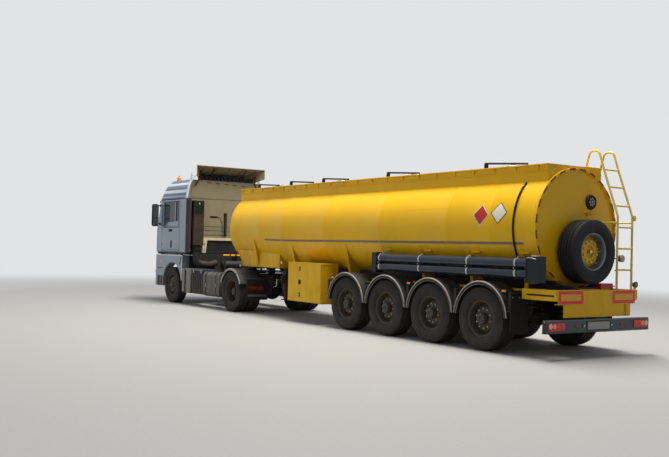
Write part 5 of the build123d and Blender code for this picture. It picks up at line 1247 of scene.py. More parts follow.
def build_cab():
    form = Form()
    x = CAB_REAR_X - 0.004
    # pressed panels of the back wall with grooves between them
    for z0, z1 in ((1.862, 1.925), (1.945, 2.055), (2.075, 2.165), (2.185, 2.94), (2.965, 3.36)):
        half = 1.17 if z0 < 2.9 else 1.1
        form.block(x - 0.01, x + 0.003, -half, half, z0, z1)
    form.plate([(-1.09, 3.36), (1.09, 3.36), (1.05, 3.47), (-1.05, 3.47)], "x", x - 0.01, x + 0.003)
    form.blocks((x - 0.045, x + 0.003, -1.16, 0.8, 1.8, 1.864, 3), (x - 0.05, x - 0.04, -1.16, 0.8, 1.792, 1.812, 3),
        (x - 0.014, x, 0.268, 0.492, 2.425, 2.48, 1))
    for k in range(4):
        form.block(x - 0.018, x - 0.008, 0.275, 0.485, 2.431 + 0.012 * k, 2.436 + 0.012 * k, 4)
    form.blocks((x - 0.012, x + 0.002, -1.17, 1.17, 1.435, 1.8, 1), (x - 0.06, x, -0.012, 0.055, 1.93, 2.555, 1),
        (x - 0.045, x, -0.022, 0.065, 2.52, 2.575, 1))
    for n in range(6):
        form.block(x - 0.066, x - 0.058, -0.004, 0.047, 1.97 + 0.09 * n, 2.03 + 0.09 * n, 4)
    # red reflectors under the roof's edge
    for n in range(5):
        y = 0.55 - 0.27 * n
        form.blocks((x - 0.013, x, y - 0.06, y + 0.06, 3.408 - 0.011 * n, 3.432 - 0.011 * n, 2),
            (x - 0.015, x - 0.012, y - 0.066, y + 0.066, 3.404 - 0.011 * n, 3.409 - 0.011 * n, 1))
    # cream brackets that carry the cab's rear on its springs
    since = len(form.faces)
    form.plate([(0.585, 1.8), (0.735, 1.8), (0.745, 1.44), (0.625, 1.44)], "x", x - 0.06, x - 0.048, 3)
    form.block(x - 0.06, x, 0.725, 0.74, 1.44, 1.8, 3)
    form.rod((x - 0.063, 0.68, 1.52), "x", -0.012, 0.01, 0.018, 12, 5)
    form.rod((x - 0.063, 0.67, 1.7), "x", -0.012, 0.01, 0.018, 12, 5)
    form.mirror(since)
    # grab rail, lamp and wiring on the wall
    form.pipe(rounded([(x, 0.74, 2.05), (x - 0.055, 0.74, 2.05), (x - 0.055, 0.74, 2.62), (x, 0.74, 2.62)], 0.02),
        0.011, 10, 1)
    form.pipe(rounded([(x - 0.012, 0.1, 1.82), (x - 0.02, 0.12, 2.3), (x - 0.014, 0.2, 2.45),
        (x - 0.012, 0.27, 2.45)], 0.05), 0.008, 8, 1)
    # black grille band standing on the roof's rear edge
    for z0, z1 in ((3.481, 3.5), (3.58, 3.602)):
        form.block(5.455, 5.475, -0.85, 0.85, z0, z1, 1)
    for n in range(15):
        y = -0.84 + 0.12 * n
        form.plate([(y - 0.035, 3.5), (y + 0.035, 3.5), (y + 0.055, 3.58), (y - 0.015, 3.58)], "x", 5.457, 5.473, 1)
    # dark skirt under the cab's floor, down to the fenders: a black strip that stands in for the shade under the cab
    since = len(form.faces)
    form.block(5.5, 7.45, 1.15, 1.18, 1.372, 1.434, 1)
    form.mirror(since)
    form.block(5.5, 5.53, -1.15, 1.15, 1.372, 1.434, 1)
    # the wall's beige finish is painted shade, warmed by light bounced off the tank
    piece("back_wall", form, "cab", ("back wall warm shade paint", "black plastic", "reflector red", "wall lip",
        "dark duct", "bright steel"), bevel=0.003)

    form = Form()
    for path in ([(5.545, 0.5, 3.484), (5.213, 0.5, 3.826)], [(5.5, 0.83, 3.484), (5.3, 0.8, 3.68)],
            [(5.42, 0.985, 3.3), (5.405, 0.9, 3.46), (5.3, 0.83, 3.66)]):
        form.pipe(path, 0.0165)
    form.rod((5.5, 0.83, 3.49), "z", -0.006, 0.008, 0.035, 16, 1)
    form.rod((5.545, 0.5, 3.49), "z", -0.006, 0.008, 0.035, 16, 1)
    # folded rim round the deflector's open rear
    form.pipe([(5.143, 1.066, 3.61), (5.143, 1.066, 3.856)], 0.012, 10, 2)
    form.mirror()
    form.pipe([(5.143, -1.066, 3.856), (5.143, 1.066, 3.856)], 0.012, 10, 2)
    for n in range(5):
        y = -0.8 + 0.4 * n
        form.plate([(5.16, 3.842), (5.16, 3.8), (5.95, 3.572), (6.05, 3.535)], "y", y - 0.004, y + 0.004, 2)
    piece("deflector_struts", form, "cab", ("rust brown", "bright steel", "back wall warm shade paint"), smooth=40)

    form = Form()
    def strip(levels, rear, finish_no, across=0.35):
        form.skin([[(p[0], p[1], p[2]) for p in cab_plan(z, rear, lift, 8, across)] for z, lift in levels], finish_no)
    # pressed beads along the roof's sides and front, in pale and dark bands: painted sky reflection and painted shade
    # on the curved roof
    strip(((3.258, 0.0005), (3.252, 0.005), (3.212, 0.005), (3.206, 0.0005)), 5.51, 2)
    strip(((3.204, 0.001), (3.192, 0.014), (3.118, 0.016), (3.108, 0.001)), 5.51, 1)
    strip(((3.106, 0.0005), (3.1, 0.004), (3.05, 0.004), (3.044, 0.0005)), 5.51, 2)
    strip(((3.04, 0.001), (3.03, 0.012), (2.985, 0.013), (2.975, 0.001)), 5.51, 0)
    strip(((3.395, 0.001), (3.385, 0.008), (3.33, 0.01), (3.32, 0.001)), 5.51, 1)
    # gutter between roof and door, with its shadow line
    strip(((2.962, 0.0005), (2.958, 0.01), (2.94, 0.01), (2.936, 0.0005)), 5.45, 3, 0.6)
    # pale trim down the roof's rear edge, with its fin
    rows = []
    for z in (2.955, 3.05, 3.15, 3.25, 3.3, 3.36, 3.42, 3.478):
        half = cab_level(z)[1]
        rows.append([(a, half + b, z) for a, b in ((5.438, -0.03), (5.434, 0.01), (5.44, 0.016), (5.502, 0.016),
            (5.508, 0.001))])
    form.skin(rows, 1)
    form.plate([(5.437, 3.44), (5.56, 3.44), (5.49, 3.63), (5.437, 3.66)], "y", 1.06, 1.086, 1)
    # corner seam and the rear quarter's light edge
    form.blocks((5.438, 5.452, 1.2195, 1.224, 1.45, 2.936, 3), (5.862, 5.868, 1.2195, 1.2212, 1.46, 2.936, 3))
    # lower sill under the door
    form.block(5.46, 7.3, 1.2195, 1.2235, 1.436, 1.446, 3)
    form.mirror()
    piece("cab_seams", form, "cab", ("cab sky shaded paint", "cab pale trim and sheen", "cab shade band", "black plastic"), smooth=40)

    # flaps behind the cab's sides: light edges, ribs and a grating on the intake duct
    form = Form()
    form.block(5.186, 5.194, 1.188, 1.218, 1.448, 2.942, 1)
    for z in (1.6, 2.05, 2.5, 2.8):
        form.block(5.195, 5.436, 1.2145, 1.219, z, z + 0.02)
    for n in range(12):
        form.block(5.2, 5.43, 1.1885, 1.191, 1.5 + 0.115 * n, 1.55 + 0.115 * n)
    form.mirror()
    for n in range(11):
        z = 2.52 + 0.03 * n
        form.blocks((5.112, 5.121, 0.85, 1.11, z, z + 0.014), (5.14, 5.42, 1.129, 1.137, z, z + 0.014))
    for z in (1.655, 2.1, 2.46, 2.862):
        form.block(5.114, 5.436, 0.824, 1.136, z, z + 0.018, 2)
    form.block(5.113, 5.121, 0.965, 0.995, 2.12, 2.46, 2)
    form.rod((5.119, 0.98, 2.78), "x", -0.014, 0.0, 0.03, 20, 3)
    form.turned(((1.652, 0.1), (1.6, 0.115), (1.58, 0.115), (1.575, 0.1), (1.55, 0.115), (1.53, 0.115), (1.525, 0.1),
        (1.5, 0.105), (1.5, 0.0001)), (5.28, 0.98, 0), "z", 32, 2)
    piece("rear_flaps", form, "cab", ("black plastic", "trim plastic", "dark duct", "bright steel"),
        bevel=0.002, smooth=40)

    for title, side in (("left", 1), ("right", -1)):
        door = Form()
        # black surround of the panes with the bar between them, sill strip, handle and recess
        y = (1.2165, 1.2225)
        door.blocks((5.925, 7.0, *y, 2.862, 2.885), (5.925, 7.0, *y, 2.135, 2.158), side=side)
        for x0, x1 in ((5.925, 5.943), (6.152, 6.208), (6.977, 7.0)):
            door.block(x0, x1, *y, 2.135, 2.885, 0 if x0 < 6 else 1, side=side)
        # window sill that drops towards the front
        door.plate([(6.21, 2.158), (6.975, 2.158), (6.975, 2.175), (6.62, 2.3), (6.21, 2.315)], "y", 1.1995, 1.22, 1,
            side=side)
        door.blocks((5.944, 6.151, 1.1995, 1.22, 2.158, 2.315, 1), (6.2, 6.62, 1.219, 1.2235, 2.303, 2.318),
            side=side)
        # handle in its dish
        door.plate(round_box(0.27, 0.075, 0.03, centre=(6.49, 2.055)), "y", 1.2195, 1.2212, side=side)
        door.pipe(rounded([(6.39, side * 1.222, 2.062), (6.4, side * 1.246, 2.062), (6.58, side * 1.246, 2.062),
            (6.59, side * 1.222, 2.062)], 0.012), 0.01, 10)
        door.rod((6.625, side * 1.2195, 2.055), "y", 0 if side > 0 else -0.004, 0.004 if side > 0 else 0, 0.012, 16,
            3)
        # step handle recess low on the door, with a pressed rim
        door.plate(round_box(0.11, 0.215, 0.03, centre=(6.42, 1.66)), "y", 1.2195, 1.2218, side=side)
        door.block(6.385, 6.455, 1.2215, 1.2245, 1.655, 1.668, side=side)
        # seam round the door and pressed line across it
        for box_x, box_z in (((5.872, 7.088), (1.462, 1.468)), ((5.872, 7.088), (2.928, 2.934)),
                ((5.871, 5.876), (1.462, 2.934)), ((7.083, 7.088), (1.462, 2.934))):
            door.block(*box_x, 1.2195, 1.2208, *box_z, side=side)
        door.plate([(5.88, 1.93), (7.08, 1.93), (7.08, 1.945), (5.88, 1.945)], "y", 1.2195, 1.2225, 1, side=side)
        door.plate([(5.88, 1.5), (7.08, 1.5), (7.08, 1.512), (5.88, 1.512)], "y", 1.2195, 1.2215, 2, side=side)
        for z in (1.65, 2.1, 2.7):
            door.rod((7.087, side * 1.224, z), "z", -0.0405, 0.0405, 0.0083, 14, 1)
        piece(f"door_{title}_trim", door, f"door_{title}",
            ("black plastic", "cab sky shaded paint", "trim plastic", "bright steel"), bevel=0.0015)


def build_front():
    form = Form()
    face = 7.738
    # cab-coloured frame and bars over the black grille
    for row in range(5):
        z = 1.25 + 0.12 * row
        form.blocks((face, face + 0.01, -0.83, 0.83, z, z + 0.04),
            (face + 0.01, face + 0.0125, -0.82, 0.82, z + 0.006, z + 0.012, 2))
    form.blocks((face, face + 0.012, -0.93, 0.93, 1.85, 1.945), (face, face + 0.012, -0.93, 0.93, 1.1, 1.165))
    since = len(form.faces)
    form.block(face, face + 0.012, 0.845, 0.93, 1.165, 1.85)
    form.mirror(since)
    for row in range(6):
        z = 1.18 + 0.12 * row
        for n in range(42):
            y = -0.82 + 0.04 * n
            form.block(7.708, 7.732, y - 0.002, y + 0.002, z + 0.001, z + 0.059, 1)
    piece("grille_bars", form, "cab", ("cab sky shaded paint", "black plastic", "bright steel"), bevel=0.002)

    form = Form()
    def lens(a0, a1, z0, z1, lift, finish_no):
        rows = []
        for k in range(13):
            angle = radians(a0 + (a1 - a0) * k / 12)
            reach = 0.336 + lift
            rows.append([(7.404 + reach * cos(angle), 0.88 + reach * sin(angle), z) for z in (z0, (z0 + z1) / 2, z1)])
        form.skin(rows, finish_no)
    lens(25, 71, 0.68, 0.92, -0.003, 2)
    for a0, a1, z0, z1, finish_no in ((27, 44, 0.7, 0.905, 1), (46, 57, 0.79, 0.905, 1), (46, 57, 0.7, 0.78, 3),
            (59, 69, 0.7, 0.905, 1)):
        lens(a0, a1, z0, z1, 0.001, finish_no)
    for angle in (35.5, 51.5, 64):
        a = radians(angle)
        spot = Vector((7.404 + 0.33 * cos(a), 0.88 + 0.33 * sin(a), 0.845))
        out = Vector((cos(a), sin(a), 0))
        for radius, reach, finish_no in ((0.044, 0.012, 2), (0.036, 0.014, 4)):
            if angle > 50:
                radius *= 0.72
            form.pipe([spot, spot + out * reach], radius, 24, finish_no)
    form.mirror()
    piece("headlamp_glass", form, "tractor", ("lamp clear", "silver rim", "black plastic", "lamp amber",
        "bright steel"), smooth=40)

    form = Form()
    # openings, fog lamps, step and blank plate on the bumper
    def front_x(y, lift=0.0):
        return 7.78 - 0.04 * (y / 0.88) ** 2 + lift
    for y0, y1, z0, z1, finish_no in ((-0.6, 0.19, 0.46, 0.6, 0), (0.41, 0.6, 0.46, 0.6, 0),
            (-0.6, 0.19, 0.7, 0.84, 0), (0.41, 0.6, 0.7, 0.84, 0)):
        steps = 10
        rows = []
        for k in range(steps + 1):
            y = y0 + (y1 - y0) * k / steps
            rows.append([(front_x(y, 0.0005), y, z0), (front_x(y, 0.0005), y, z1)])
        form.skin(rows, finish_no)
        for n in range(4):
            z = z0 + 0.02 + 0.03 * n
            form.skin([[(front_x(y0 + (y1 - y0) * k / steps, d), y0 + (y1 - y0) * k / steps, z + h) for d,
                h in ((0.0005, 0), (0.001, 0.003), (0.001, 0.01), (0.0005, 0.013))] for k in range(steps + 1)], 1)
    form.block(7.7795, 7.7799, -0.26, 0.18, 0.625, 0.685, 4)
    since = len(form.faces)
    form.rod((7.741, 0.76, 0.53), "x", 0.0, 0.012, 0.052, 28, 1)
    form.rod((7.745, 0.76, 0.53), "x", 0.0, 0.011, 0.044, 28, 3)
    form.block(7.735, 7.76, 0.66, 0.86, 0.72, 0.83)
    for n in range(7):
        form.block(7.759, 7.765, 0.67 + 0.026 * n, 0.683 + 0.026 * n, 0.73, 0.82, 5)
    form.mirror(since)
    piece("bumper_detail", form, "tractor", ("black plastic", "trim plastic", "cab sky shaded paint",
        "lamp clear", "blank plate", "bright steel"), smooth=40)

    form = Form()
    # wheel arch lips, step slots and side repeaters on the fenders
    rows = []
    for k in range(33):
        a = radians(12 + 156 * k / 32)
        rows.append([(FRONT_X - r * cos(a), y, TRACTOR_TYRE[0] + r * sin(a)) for r,
            y in ((0.634, 1.15), (0.634, 1.2165), (0.64, 1.2215), (0.656, 1.2215), (0.662, 1.2155))])
    form.skin(rows)
    rows = []
    for k in range(33):
        a = radians(6 + 168 * k / 32)
        rows.append([(FRONT_X - 0.633 * cos(a), y, TRACTOR_TYRE[0] + 0.633 * sin(a)) for y in (1.003, 1.1, 1.21)])
    form.skin(rows, 1)
    # curved dark slot behind the arch, and the step treads
    form.plate([(5.68, 1.33), (5.76, 1.33), (5.77, 1.18), (5.83, 1.085), (5.8, 1.07), (5.725, 1.16)], "y", 1.2145,
        1.2168, 1)
    form.blocks((5.65, 5.685, 1.2145, 1.2185, 0.66, 1.355, 2), (5.65, 7.4, 1.2145, 1.218, 1.335, 1.352, 2),
        (6.96, 7.34, 1.2145, 1.217, 0.955, 0.975, 1), (6.97, 7.33, 1.2145, 1.2165, 0.46, 0.74, 1),
        (7.1, 7.145, 1.2165, 1.22, 0.47, 0.73, 3), (7.05, 7.15, 1.2145, 1.223, 1.135, 1.17, 4))
    form.mirror()
    piece("fender_detail", form, "tractor", ("cab sky shaded paint", "black plastic", "cab pale trim and sheen", "step grey",
        "lamp amber"), smooth=40)

    form = Form()
    # wipers over the windscreen, parked low
    def screen(y, z, lift):
        return (7.7 - 0.2584 * (z - 2.06) - 0.045 * (y / 0.96) ** 2 + lift, y, z)
    for y0 in (-0.78, -0.06, 0.66):
        form.pipe([screen(y0, 2.085, 0.03), screen(y0 + 0.1, 2.14, 0.035), screen(y0 + 0.4, 2.235, 0.032)], 0.008, 8)
        form.pipe([screen(y0 + 0.08, 2.165, 0.016), screen(y0 + 0.4, 2.235, 0.017), screen(y0 + 0.62, 2.3, 0.016)],
            0.007, 8)
        form.rod(screen(y0, 2.085, 0.0), "x", 0.0, 0.04, 0.018)
    # black band under the windscreen and its rubber surround
    for low, high in ((2.062, 2.118), (2.902, 2.945)):
        rows = []
        for z in (low, high):
            rows.append([screen(-0.94 + 1.88 * k / 20, z, 0.006) for k in range(21)])
        form.skin(rows)
    piece("wipers", form, "cab", ("black plastic",), smooth=40)

    form = Form()
    # sun visor as one curved sheet on its brackets, with marker lamps
    rows = []
    for k in range(29):
        y = -1.09 + 2.18 * k / 28
        bow = 0.05 * (y / 1.09) ** 2
        rows.append([(x - bow, y, z) for x, z in ((7.47, 2.962), (7.56, 2.948), (7.64, 2.926), (7.68, 2.898),
            (7.677, 2.892), (7.636, 2.919), (7.556, 2.941), (7.47, 2.954))])
    form.skin(rows, loop=True, ends=True)
    since = len(form.faces)
    form.blocks((7.36, 7.5, 1.05, 1.085, 2.915, 2.958, 1), (7.4, 7.5, 0.32, 0.35, 2.935, 2.955, 1))
    # mirror shells, rounded, with glass to the rear and two arms
    rows = []
    for z, share in ((2.172, 0.45), (2.18, 0.78), (2.2, 0.95), (2.235, 1.0), (2.765, 1.0), (2.8, 0.95), (2.82, 0.78),
            (2.828, 0.45)):
        rows.append([(7.255 + a * share, 1.375 + b * share, z) for a, b in round_box(0.092, 0.208, 0.04, 6)])
    form.skin(rows, 1, loop=True, ends=True)
    for z0, z1 in ((2.215, 2.4), (2.42, 2.785)):
        form.pad(0.17, z1 - z0, 0.022, (1.375, (z0 + z1) / 2), 7.2075, 7.2095, 2)
    for z in (2.245, 2.785):
        form.pipe(rounded([(7.25, 1.215, z), (7.25, 1.262, z), (7.255, 1.3, z + (0.03 if z < 2.5 else -0.03))], 0.02),
            0.014, 12, 1)
        form.block(7.215, 7.285, 1.212, 1.228, z - 0.035, z + 0.035, 1)
    form.mirror(since)
    piece("mirrors_dressed", form, "cab", ("visor smoke", "black plastic", "mirror glass"),
        smooth=40, replaces=("mirrors_and_visor",))

    form = Form()
    form.turned(((3.4805, 0.0001), (3.4805, 0.058), (3.486, 0.0615), (3.508, 0.0615), (3.512, 0.052)), (6.69, 0.9, 0),
        "z", 40, 1)
    form.turned(((3.508, 0.054), (3.513, 0.0605), (3.52, 0.058), (3.53, 0.0605), (3.54, 0.058), (3.55, 0.0605),
        (3.56, 0.058), (3.57, 0.06), (3.58, 0.057), (3.59, 0.0585), (3.604, 0.054), (3.618, 0.043), (3.626, 0.025),
        (3.628, 0.0001)), (6.69, 0.9, 0), "z", 40)
    form.rod((6.69, 0.9, 3.64), "z", -0.02, 0.018, 0.012, 12, 1)
    piece("beacon_dressed", form, "cab", ("lamp amber", "black plastic"), smooth=40, replaces=("beacon",))


def build_interior():
    for title, y in (("driver", 0.64), ("passenger", -0.64)):
        form = Form()
        cushion(form, (6.415, y, 1.862), (0.5, 0.48, 0.105), 4, 0, 0.026)
        cushion(form, (6.115, y, 2.235), (0.56, 0.46, 0.08), -83, 0, 0.022)
        cushion(form, (6.085, y, 2.545), (0.12, 0.26, 0.066), -83, 0, 0.014)
        seat = piece(f"{title}_seat", form, "cab", ("seat cloth",), smooth=60)
    form = Form()
    cushion(form, (5.73, 0.0, 1.94), (0.44, 2.14, 0.11), 0, 0, 0.02)
    bunk = piece("bunk", form, "cab", ("seat cloth",), smooth=60)
    form = Form()
    for y in (0.64, -0.64):
        form.blocks((6.2, 6.6, y - 0.175, y + 0.175, 1.4605, 1.798), (6.16, 6.66, y - 0.225, y + 0.225, 1.798, 1.815))
        form.rod((6.4, y, 1.62), "z", -0.1, 0.1, 0.13, 24, 1)
    form.block(5.501, 5.96, -1.09, 1.09, 1.4605, 1.885)
    dash = [(7.122, 1.752), (7.122, 1.955), (7.16, 2.03), (7.24, 2.07), (7.478, 2.078), (7.478, 1.752)]
    form.plate(dash, "y", -1.058, 1.058)
    form.block(7.202, 7.438, -0.995, 0.995, 1.4605, 1.755)
    form.plate([(7.15, 2.02), (7.18, 2.075), (7.24, 2.0795), (7.24, 2.05)], "y", 0.44, 0.84, 1)
    for y in (-0.85, -0.45, 0.0, 0.95):
        form.block(7.116, 7.123, y - 0.07, y + 0.07, 1.895, 1.945, 1)
    form.block(7.112, 7.123, -0.2, 0.3, 1.79, 1.885, 1)
    column = Matrix.Translation((7.06, 0.64, 2.08)) @ Matrix.Rotation(radians(60), 4, "Y")
    ring = []
    for k in range(36):
        a = 2 * pi * k / 36
        ring.append([column @ Vector(((0.215 + 0.015 * cos(b)) * cos(a), (0.215 + 0.015 * cos(b)) * sin(a),
            0.015 * sin(b))) for b in [2 * pi * n / 10 for n in range(10)]])
    ring.append(ring[0])
    form.skin(ring, 1, loop=True)
    for angle in (90, 210, 330):
        a = radians(angle)
        form.pipe([column @ Vector((0.05 * cos(a), 0.05 * sin(a), 0.0)),
            column @ Vector((0.21 * cos(a), 0.21 * sin(a), 0.0))], 0.012, 8, 1)
    form.pipe([column @ Vector((0, 0, -0.014)), column @ Vector((0, 0, 0.014))], 0.058, 20, 1)
    form.pipe([column @ Vector((0, 0, 0.0)), column @ Vector((0, 0, 0.18))], 0.026, 16, 1)
    piece("cab_fittings", form, "cab", ("trim plastic", "black plastic"), bevel=0.003, smooth=40,
        replaces=("cab_interior",))


def build_chassis():
    form = Form()
    # fuel tank with its straps, welded ends and filler cap
    form.plate(round_box(0.52, 0.64, 0.11, 8, centre=(0.96, 0.63)), "x", 3.336, 4.274)
    for x in (3.333, 4.269):
        form.plate(round_box(0.524, 0.644, 0.112, 8, centre=(0.96, 0.63)), "x", x - 0.004, x + 0.008)
    for x in (3.78, 4.14):
        form.plate(round_box(0.528, 0.648, 0.113, 8, centre=(0.96, 0.63)), "x", x - 0.003, x + 0.003)
    for x in (3.52, 4.1):
        form.plate(round_box(0.53, 0.65, 0.114, 8, centre=(0.96, 0.63)), "x", x - 0.022, x + 0.022, 1)
        form.block(x - 0.02, x + 0.02, 0.43, 0.72, 0.72, 0.8, 1)
        form.rod((x, 1.226, 0.6), "z", -0.05, 0.05, 0.007, 10, 3)
    form.rod((3.8, 1.1, 0.93), "z", 0, 0.045, 0.045, 24, 2)
    form.mirror()
    piece("fuel_tanks_dressed", form, "tractor",
        ("tank silver", "chassis paint", "black plastic", "bright steel"), smooth=50, replaces=("fuel_tanks",))

    form = Form()
    # dark battery and tool box with its lid
    form.blocks((4.3, 5.02, 0.76, 1.196, 0.34, 0.955), (4.298, 5.024, 0.758, 1.2149, 0.955, 1.0, 3))
    for n in range(6):
        x = 4.33 + 0.112 * n
        form.plate([(x, 1.196), (x + 0.012, 1.212), (x + 0.08, 1.212), (x + 0.092, 1.196)], "z", 0.4, 0.93)
    form.block(4.3, 5.02, 0.76, 1.205, 0.334, 0.36)
    for x in (4.42, 4.88):
        form.block(x - 0.02, x + 0.02, 1.205, 1.2165, 0.9, 0.99, 4)
    form.block(5.02, 5.07, 0.76, 1.15, 0.4, 0.98)
    # pale step column with its treads set back
    form.block(5.07, 5.6, 0.76, 1.1, 0.33, 0.995)
    form.plate([(5.07, 0.33), (5.36, 0.33), (5.36, 0.995), (5.07, 0.995)], "y", 1.185, 1.2149, 1)
    form.plate([(5.47, 0.33), (5.61, 0.33), (5.61, 0.995), (5.47, 0.995)], "y", 1.185, 1.2149, 1)
    form.blocks((5.135, 5.145, 1.2145, 1.2165, 0.36, 0.97, 2), (5.3, 5.31, 1.2145, 1.2165, 0.36, 0.97, 2),
        (5.07, 5.61, 0.9, 1.2149, 0.965, 0.998, 1), (5.07, 5.61, 0.9, 1.2149, 0.33, 0.362, 2))
    for z in (0.5, 0.74):
        form.block(5.34, 5.49, 1.09, 1.213, z, z + 0.03, 2)
        for n in range(5):
            form.block(5.35 + 0.027 * n, 5.362 + 0.027 * n, 1.1, 1.208, z + 0.03, z + 0.036, 4)
    for x in (4.52, 5.4):
        form.block(x - 0.02, x + 0.02, 0.43, 0.77, 0.72, 0.8)
    form.mirror()
    piece("side_boxes_dressed", form, "tractor",
        ("box dark", "step grey", "black plastic", "box lid", "bright steel"), bevel=0.003, replaces=("side_boxes",))

    form = Form()
    for side in (1, -1):
        # mudguards in three pieces: pale outside, black inside, with rolled edges
        for start, stop, r in ((22, 58, 0.57), (52, 128, 0.578), (122, 158, 0.57)):
            section = [(0.58, r), (0.58, r - 0.028), (0.586, r - 0.028), (0.59, r - 0.002), (1.225, r - 0.002),
                (1.228, r - 0.04), (1.236, r - 0.044), (1.24, r - 0.036), (1.24, r + 0.002), (1.232, r + 0.007),
                (1.1, r + 0.008), (1.06, r + 0.004), (0.76, r + 0.004), (0.72, r + 0.008), (0.59, r + 0.006),]
            guard(form, section, (DRIVE_X, TRACTOR_TYRE[0]), start, stop, 20, side, (5, 6, 7, 8))
        for x in (DRIVE_X - 0.545, DRIVE_X + 0.545):
            form.rod((x, side * 0.79, 0.725), "y", -0.41, 0.41, 0.018, 14, 2)
        for x in (DRIVE_X - 0.3, DRIVE_X + 0.3):
            form.rod((x, side * 0.79, 0.995), "y", -0.41, 0.41, 0.016, 14, 2)
        # flaps with a red reflector band and a pale lower strip
        form.rod((1.846, side * 0.805, 0.86), "y", -0.425, 0.425, 0.018, 14, 2)
        form.pad(0.595, 0.56, 0.02, (side * 0.9325, 0.62), 1.84, 1.852, 3)
        form.pad(0.4, 0.085, 0.01, (side * 0.965, 0.635), 1.8365, 1.84, 4)
        form.pad(0.36, 0.03, 0.008, (side * 0.965, 0.635), 1.8345, 1.8365, 5)
        form.pad(0.53, 0.05, 0.01, (side * 0.9325, 0.45), 1.8375, 1.84, 6)
        form.block(1.828, 1.9, 0.365, 0.41, 0.84, 0.88, 2, side=side)
    piece("drive_guards", form, "tractor", ("guard black", "tractor guard", "chassis paint",
        "hose rubber", "reflector red", "reflector red", "tank silver"), smooth=45, replaces=("drive_mudguards",))

    form = Form()
    # dark shroud and machinery between the cab's floor and the frame; the shroud is a dark sheet that also stands in
    # for the shade there
    form.block(5.372, 5.384, -0.88, 0.86, 0.955, 1.418)
    for n in range(9):
        y = -0.82 + 0.19 * n
        form.block(5.362, 5.374, y, y + 0.02, 0.96, 1.41)
    form.blocks((5.05, 5.36, -0.72, -0.2, 0.953, 1.33), (5.09, 5.32, -0.66, -0.26, 1.33, 1.36))
    form.turned(((-0.3, 0.0001), (-0.3, 0.1), (-0.26, 0.135), (0.26, 0.135), (0.3, 0.1), (0.3, 0.0001)),
        (4.9, 0.05, 1.095), "y", 36, 1)
    form.turned(((-0.2, 0.137), (-0.18, 0.137)), (4.9, 0.05, 1.095), "y", 36, 3)
    form.turned(((0.18, 0.137), (0.2, 0.137)), (4.9, 0.05, 1.095), "y", 36, 3)
    # ribbed intake elbow from the duct down to the engine
    elbow = rounded([(5.28, 0.98, 1.488), (5.28, 0.97, 1.16), (5.22, 0.62, 1.1), (5.3, 0.34, 1.16)], 0.22, 10)
    form.pipe(elbow, 0.088, 24)
    for k in range(2, len(elbow) - 2, 2):
        along = (elbow[k + 1] - elbow[k - 1]).normalized()
        form.pipe([elbow[k] - along * 0.01, elbow[k] + along * 0.01], 0.096, 24)
    # rail that carries the air line couplings, on two posts
    for y in (-0.42, 0.4):
        form.block(4.6, 4.64, y - 0.02, y + 0.02, 0.953, 1.39)
    form.rod((4.62, 0.0, 1.385), "y", -0.5, 0.46, 0.024, 16, 4)
    for y in (-0.3, -0.12, 0.1, 0.28):
        form.rod((4.62, y, 1.385), "x", -0.07, 0.0, 0.02, 14, 3)
        form.rod((4.56, y, 1.385), "x", -0.018, 0.0, 0.026, 14, 4 if y < 0 else 5)
    for x0, y0, y1 in ((4.7, -0.3, 0.3), (4.2, -0.34, 0.34)):
        form.pipe(rounded([(x0, y0, 0.965), (x0 + 0.2, y0 * 0.6, 0.985), (x0 + 0.35, y1, 0.97)], 0.1), 0.012, 8, 2)
    # deck's chequered treads
    for n in range(22):
        x = 4.17 + 0.051 * n
        form.block(x, x + 0.02, -0.4, 0.4, 0.951, 0.9545, 3)
    piece("deck_gear", form, "tractor", ("guard black", "box dark", "hose rubber", "chassis paint",
        "frame yellow", "signal red"), bevel=0.002, smooth=40)

    form = Form()
    # engine: covers, pulleys, filters and pipes, seen with the cab tilted
    for n in range(6):
        x = 5.86 + 0.2 * n
        form.block(x, x + 0.17, -0.22, 0.02, 1.3402, 1.385)
        form.rod((x + 0.085, -0.1, 1.385), "z", 0, 0.012, 0.016, 10, 1)
        form.rod((x + 0.085, 0.33, 1.18), "y", 0.0, 0.075, 0.035)
    form.pipe([(5.82, 0.42, 1.18), (7.0, 0.42, 1.18)], 0.055, 20, 2)
    for z0 in (0.9, 0.99):
        form.blocks((5.8, 7.1, 0.33, 0.342, z0, z0 + 0.03), (5.8, 7.1, -0.342, -0.33, z0, z0 + 0.03))
    for x in (6.02, 6.2, 6.38):
        form.rod((x, -0.42, 0.98), "z", -0.12, 0.12, 0.058, 24, 3)
        form.rod((x, -0.42, 1.11), "z", 0.0, 0.03, 0.05, 24, 1)
    form.turned(((7.15, 0.0001), (7.15, 0.16), (7.17, 0.165), (7.185, 0.165), (7.19, 0.15), (7.19, 0.0001)),
        (0, 0.0, 0.86), "x", 36, 1)
    for n in range(9):
        a = radians(40 * n)
        c, s = cos(a), sin(a)
        form.skin([[(7.19 + d, r * c - w * s, 1.05 + r * s + w * c) for r in (0.05, 0.29)] for d,
            w in ((0.0, -0.05), (0.02, 0.05))], 2)
    form.rod((7.151, 0, 1.05), "x", 0.0, 0.06, 0.055, 24, 1)
    piece("engine_detail", form, "tractor", ("cast iron", "bright steel", "chassis paint",
        "guard black"), bevel=0.003, smooth=40)

    form = Form()
    # locking handle and pivots of the coupling
    form.pipe([(3.1, 0.44, 1.075), (3.1, 0.6, 1.075), (3.08, 0.64, 1.075)], 0.011, 10, 1)
    for y in (-0.2, 0.2):
        form.rod((3.305, y, 1.04), "y", -0.03, 0.03, 0.045, 20, 1)
    piece("coupling_detail", form, "tractor", ("grease", "bright steel"), smooth=40)


class LORRY_OT_finishes(bpy.types.Operator):
    """Make every paint, plastic, rubber and metal, and put them on the CAD nodes that stay"""
    bl_idname = "lorry.finishes"
    bl_label = "Finishes"

    def execute(self, context):
        build_finishes(context.scene)
        return {"FINISHED"}


class LORRY_OT_stage(bpy.types.Operator):
    """Set the pale floor, the soft lamps and the camera at the photograph's angle"""
    bl_idname = "lorry.stage"
    bl_label = "Stage"

    def execute(self, context):
        build_stage(context.scene)
        return {"FINISHED"}


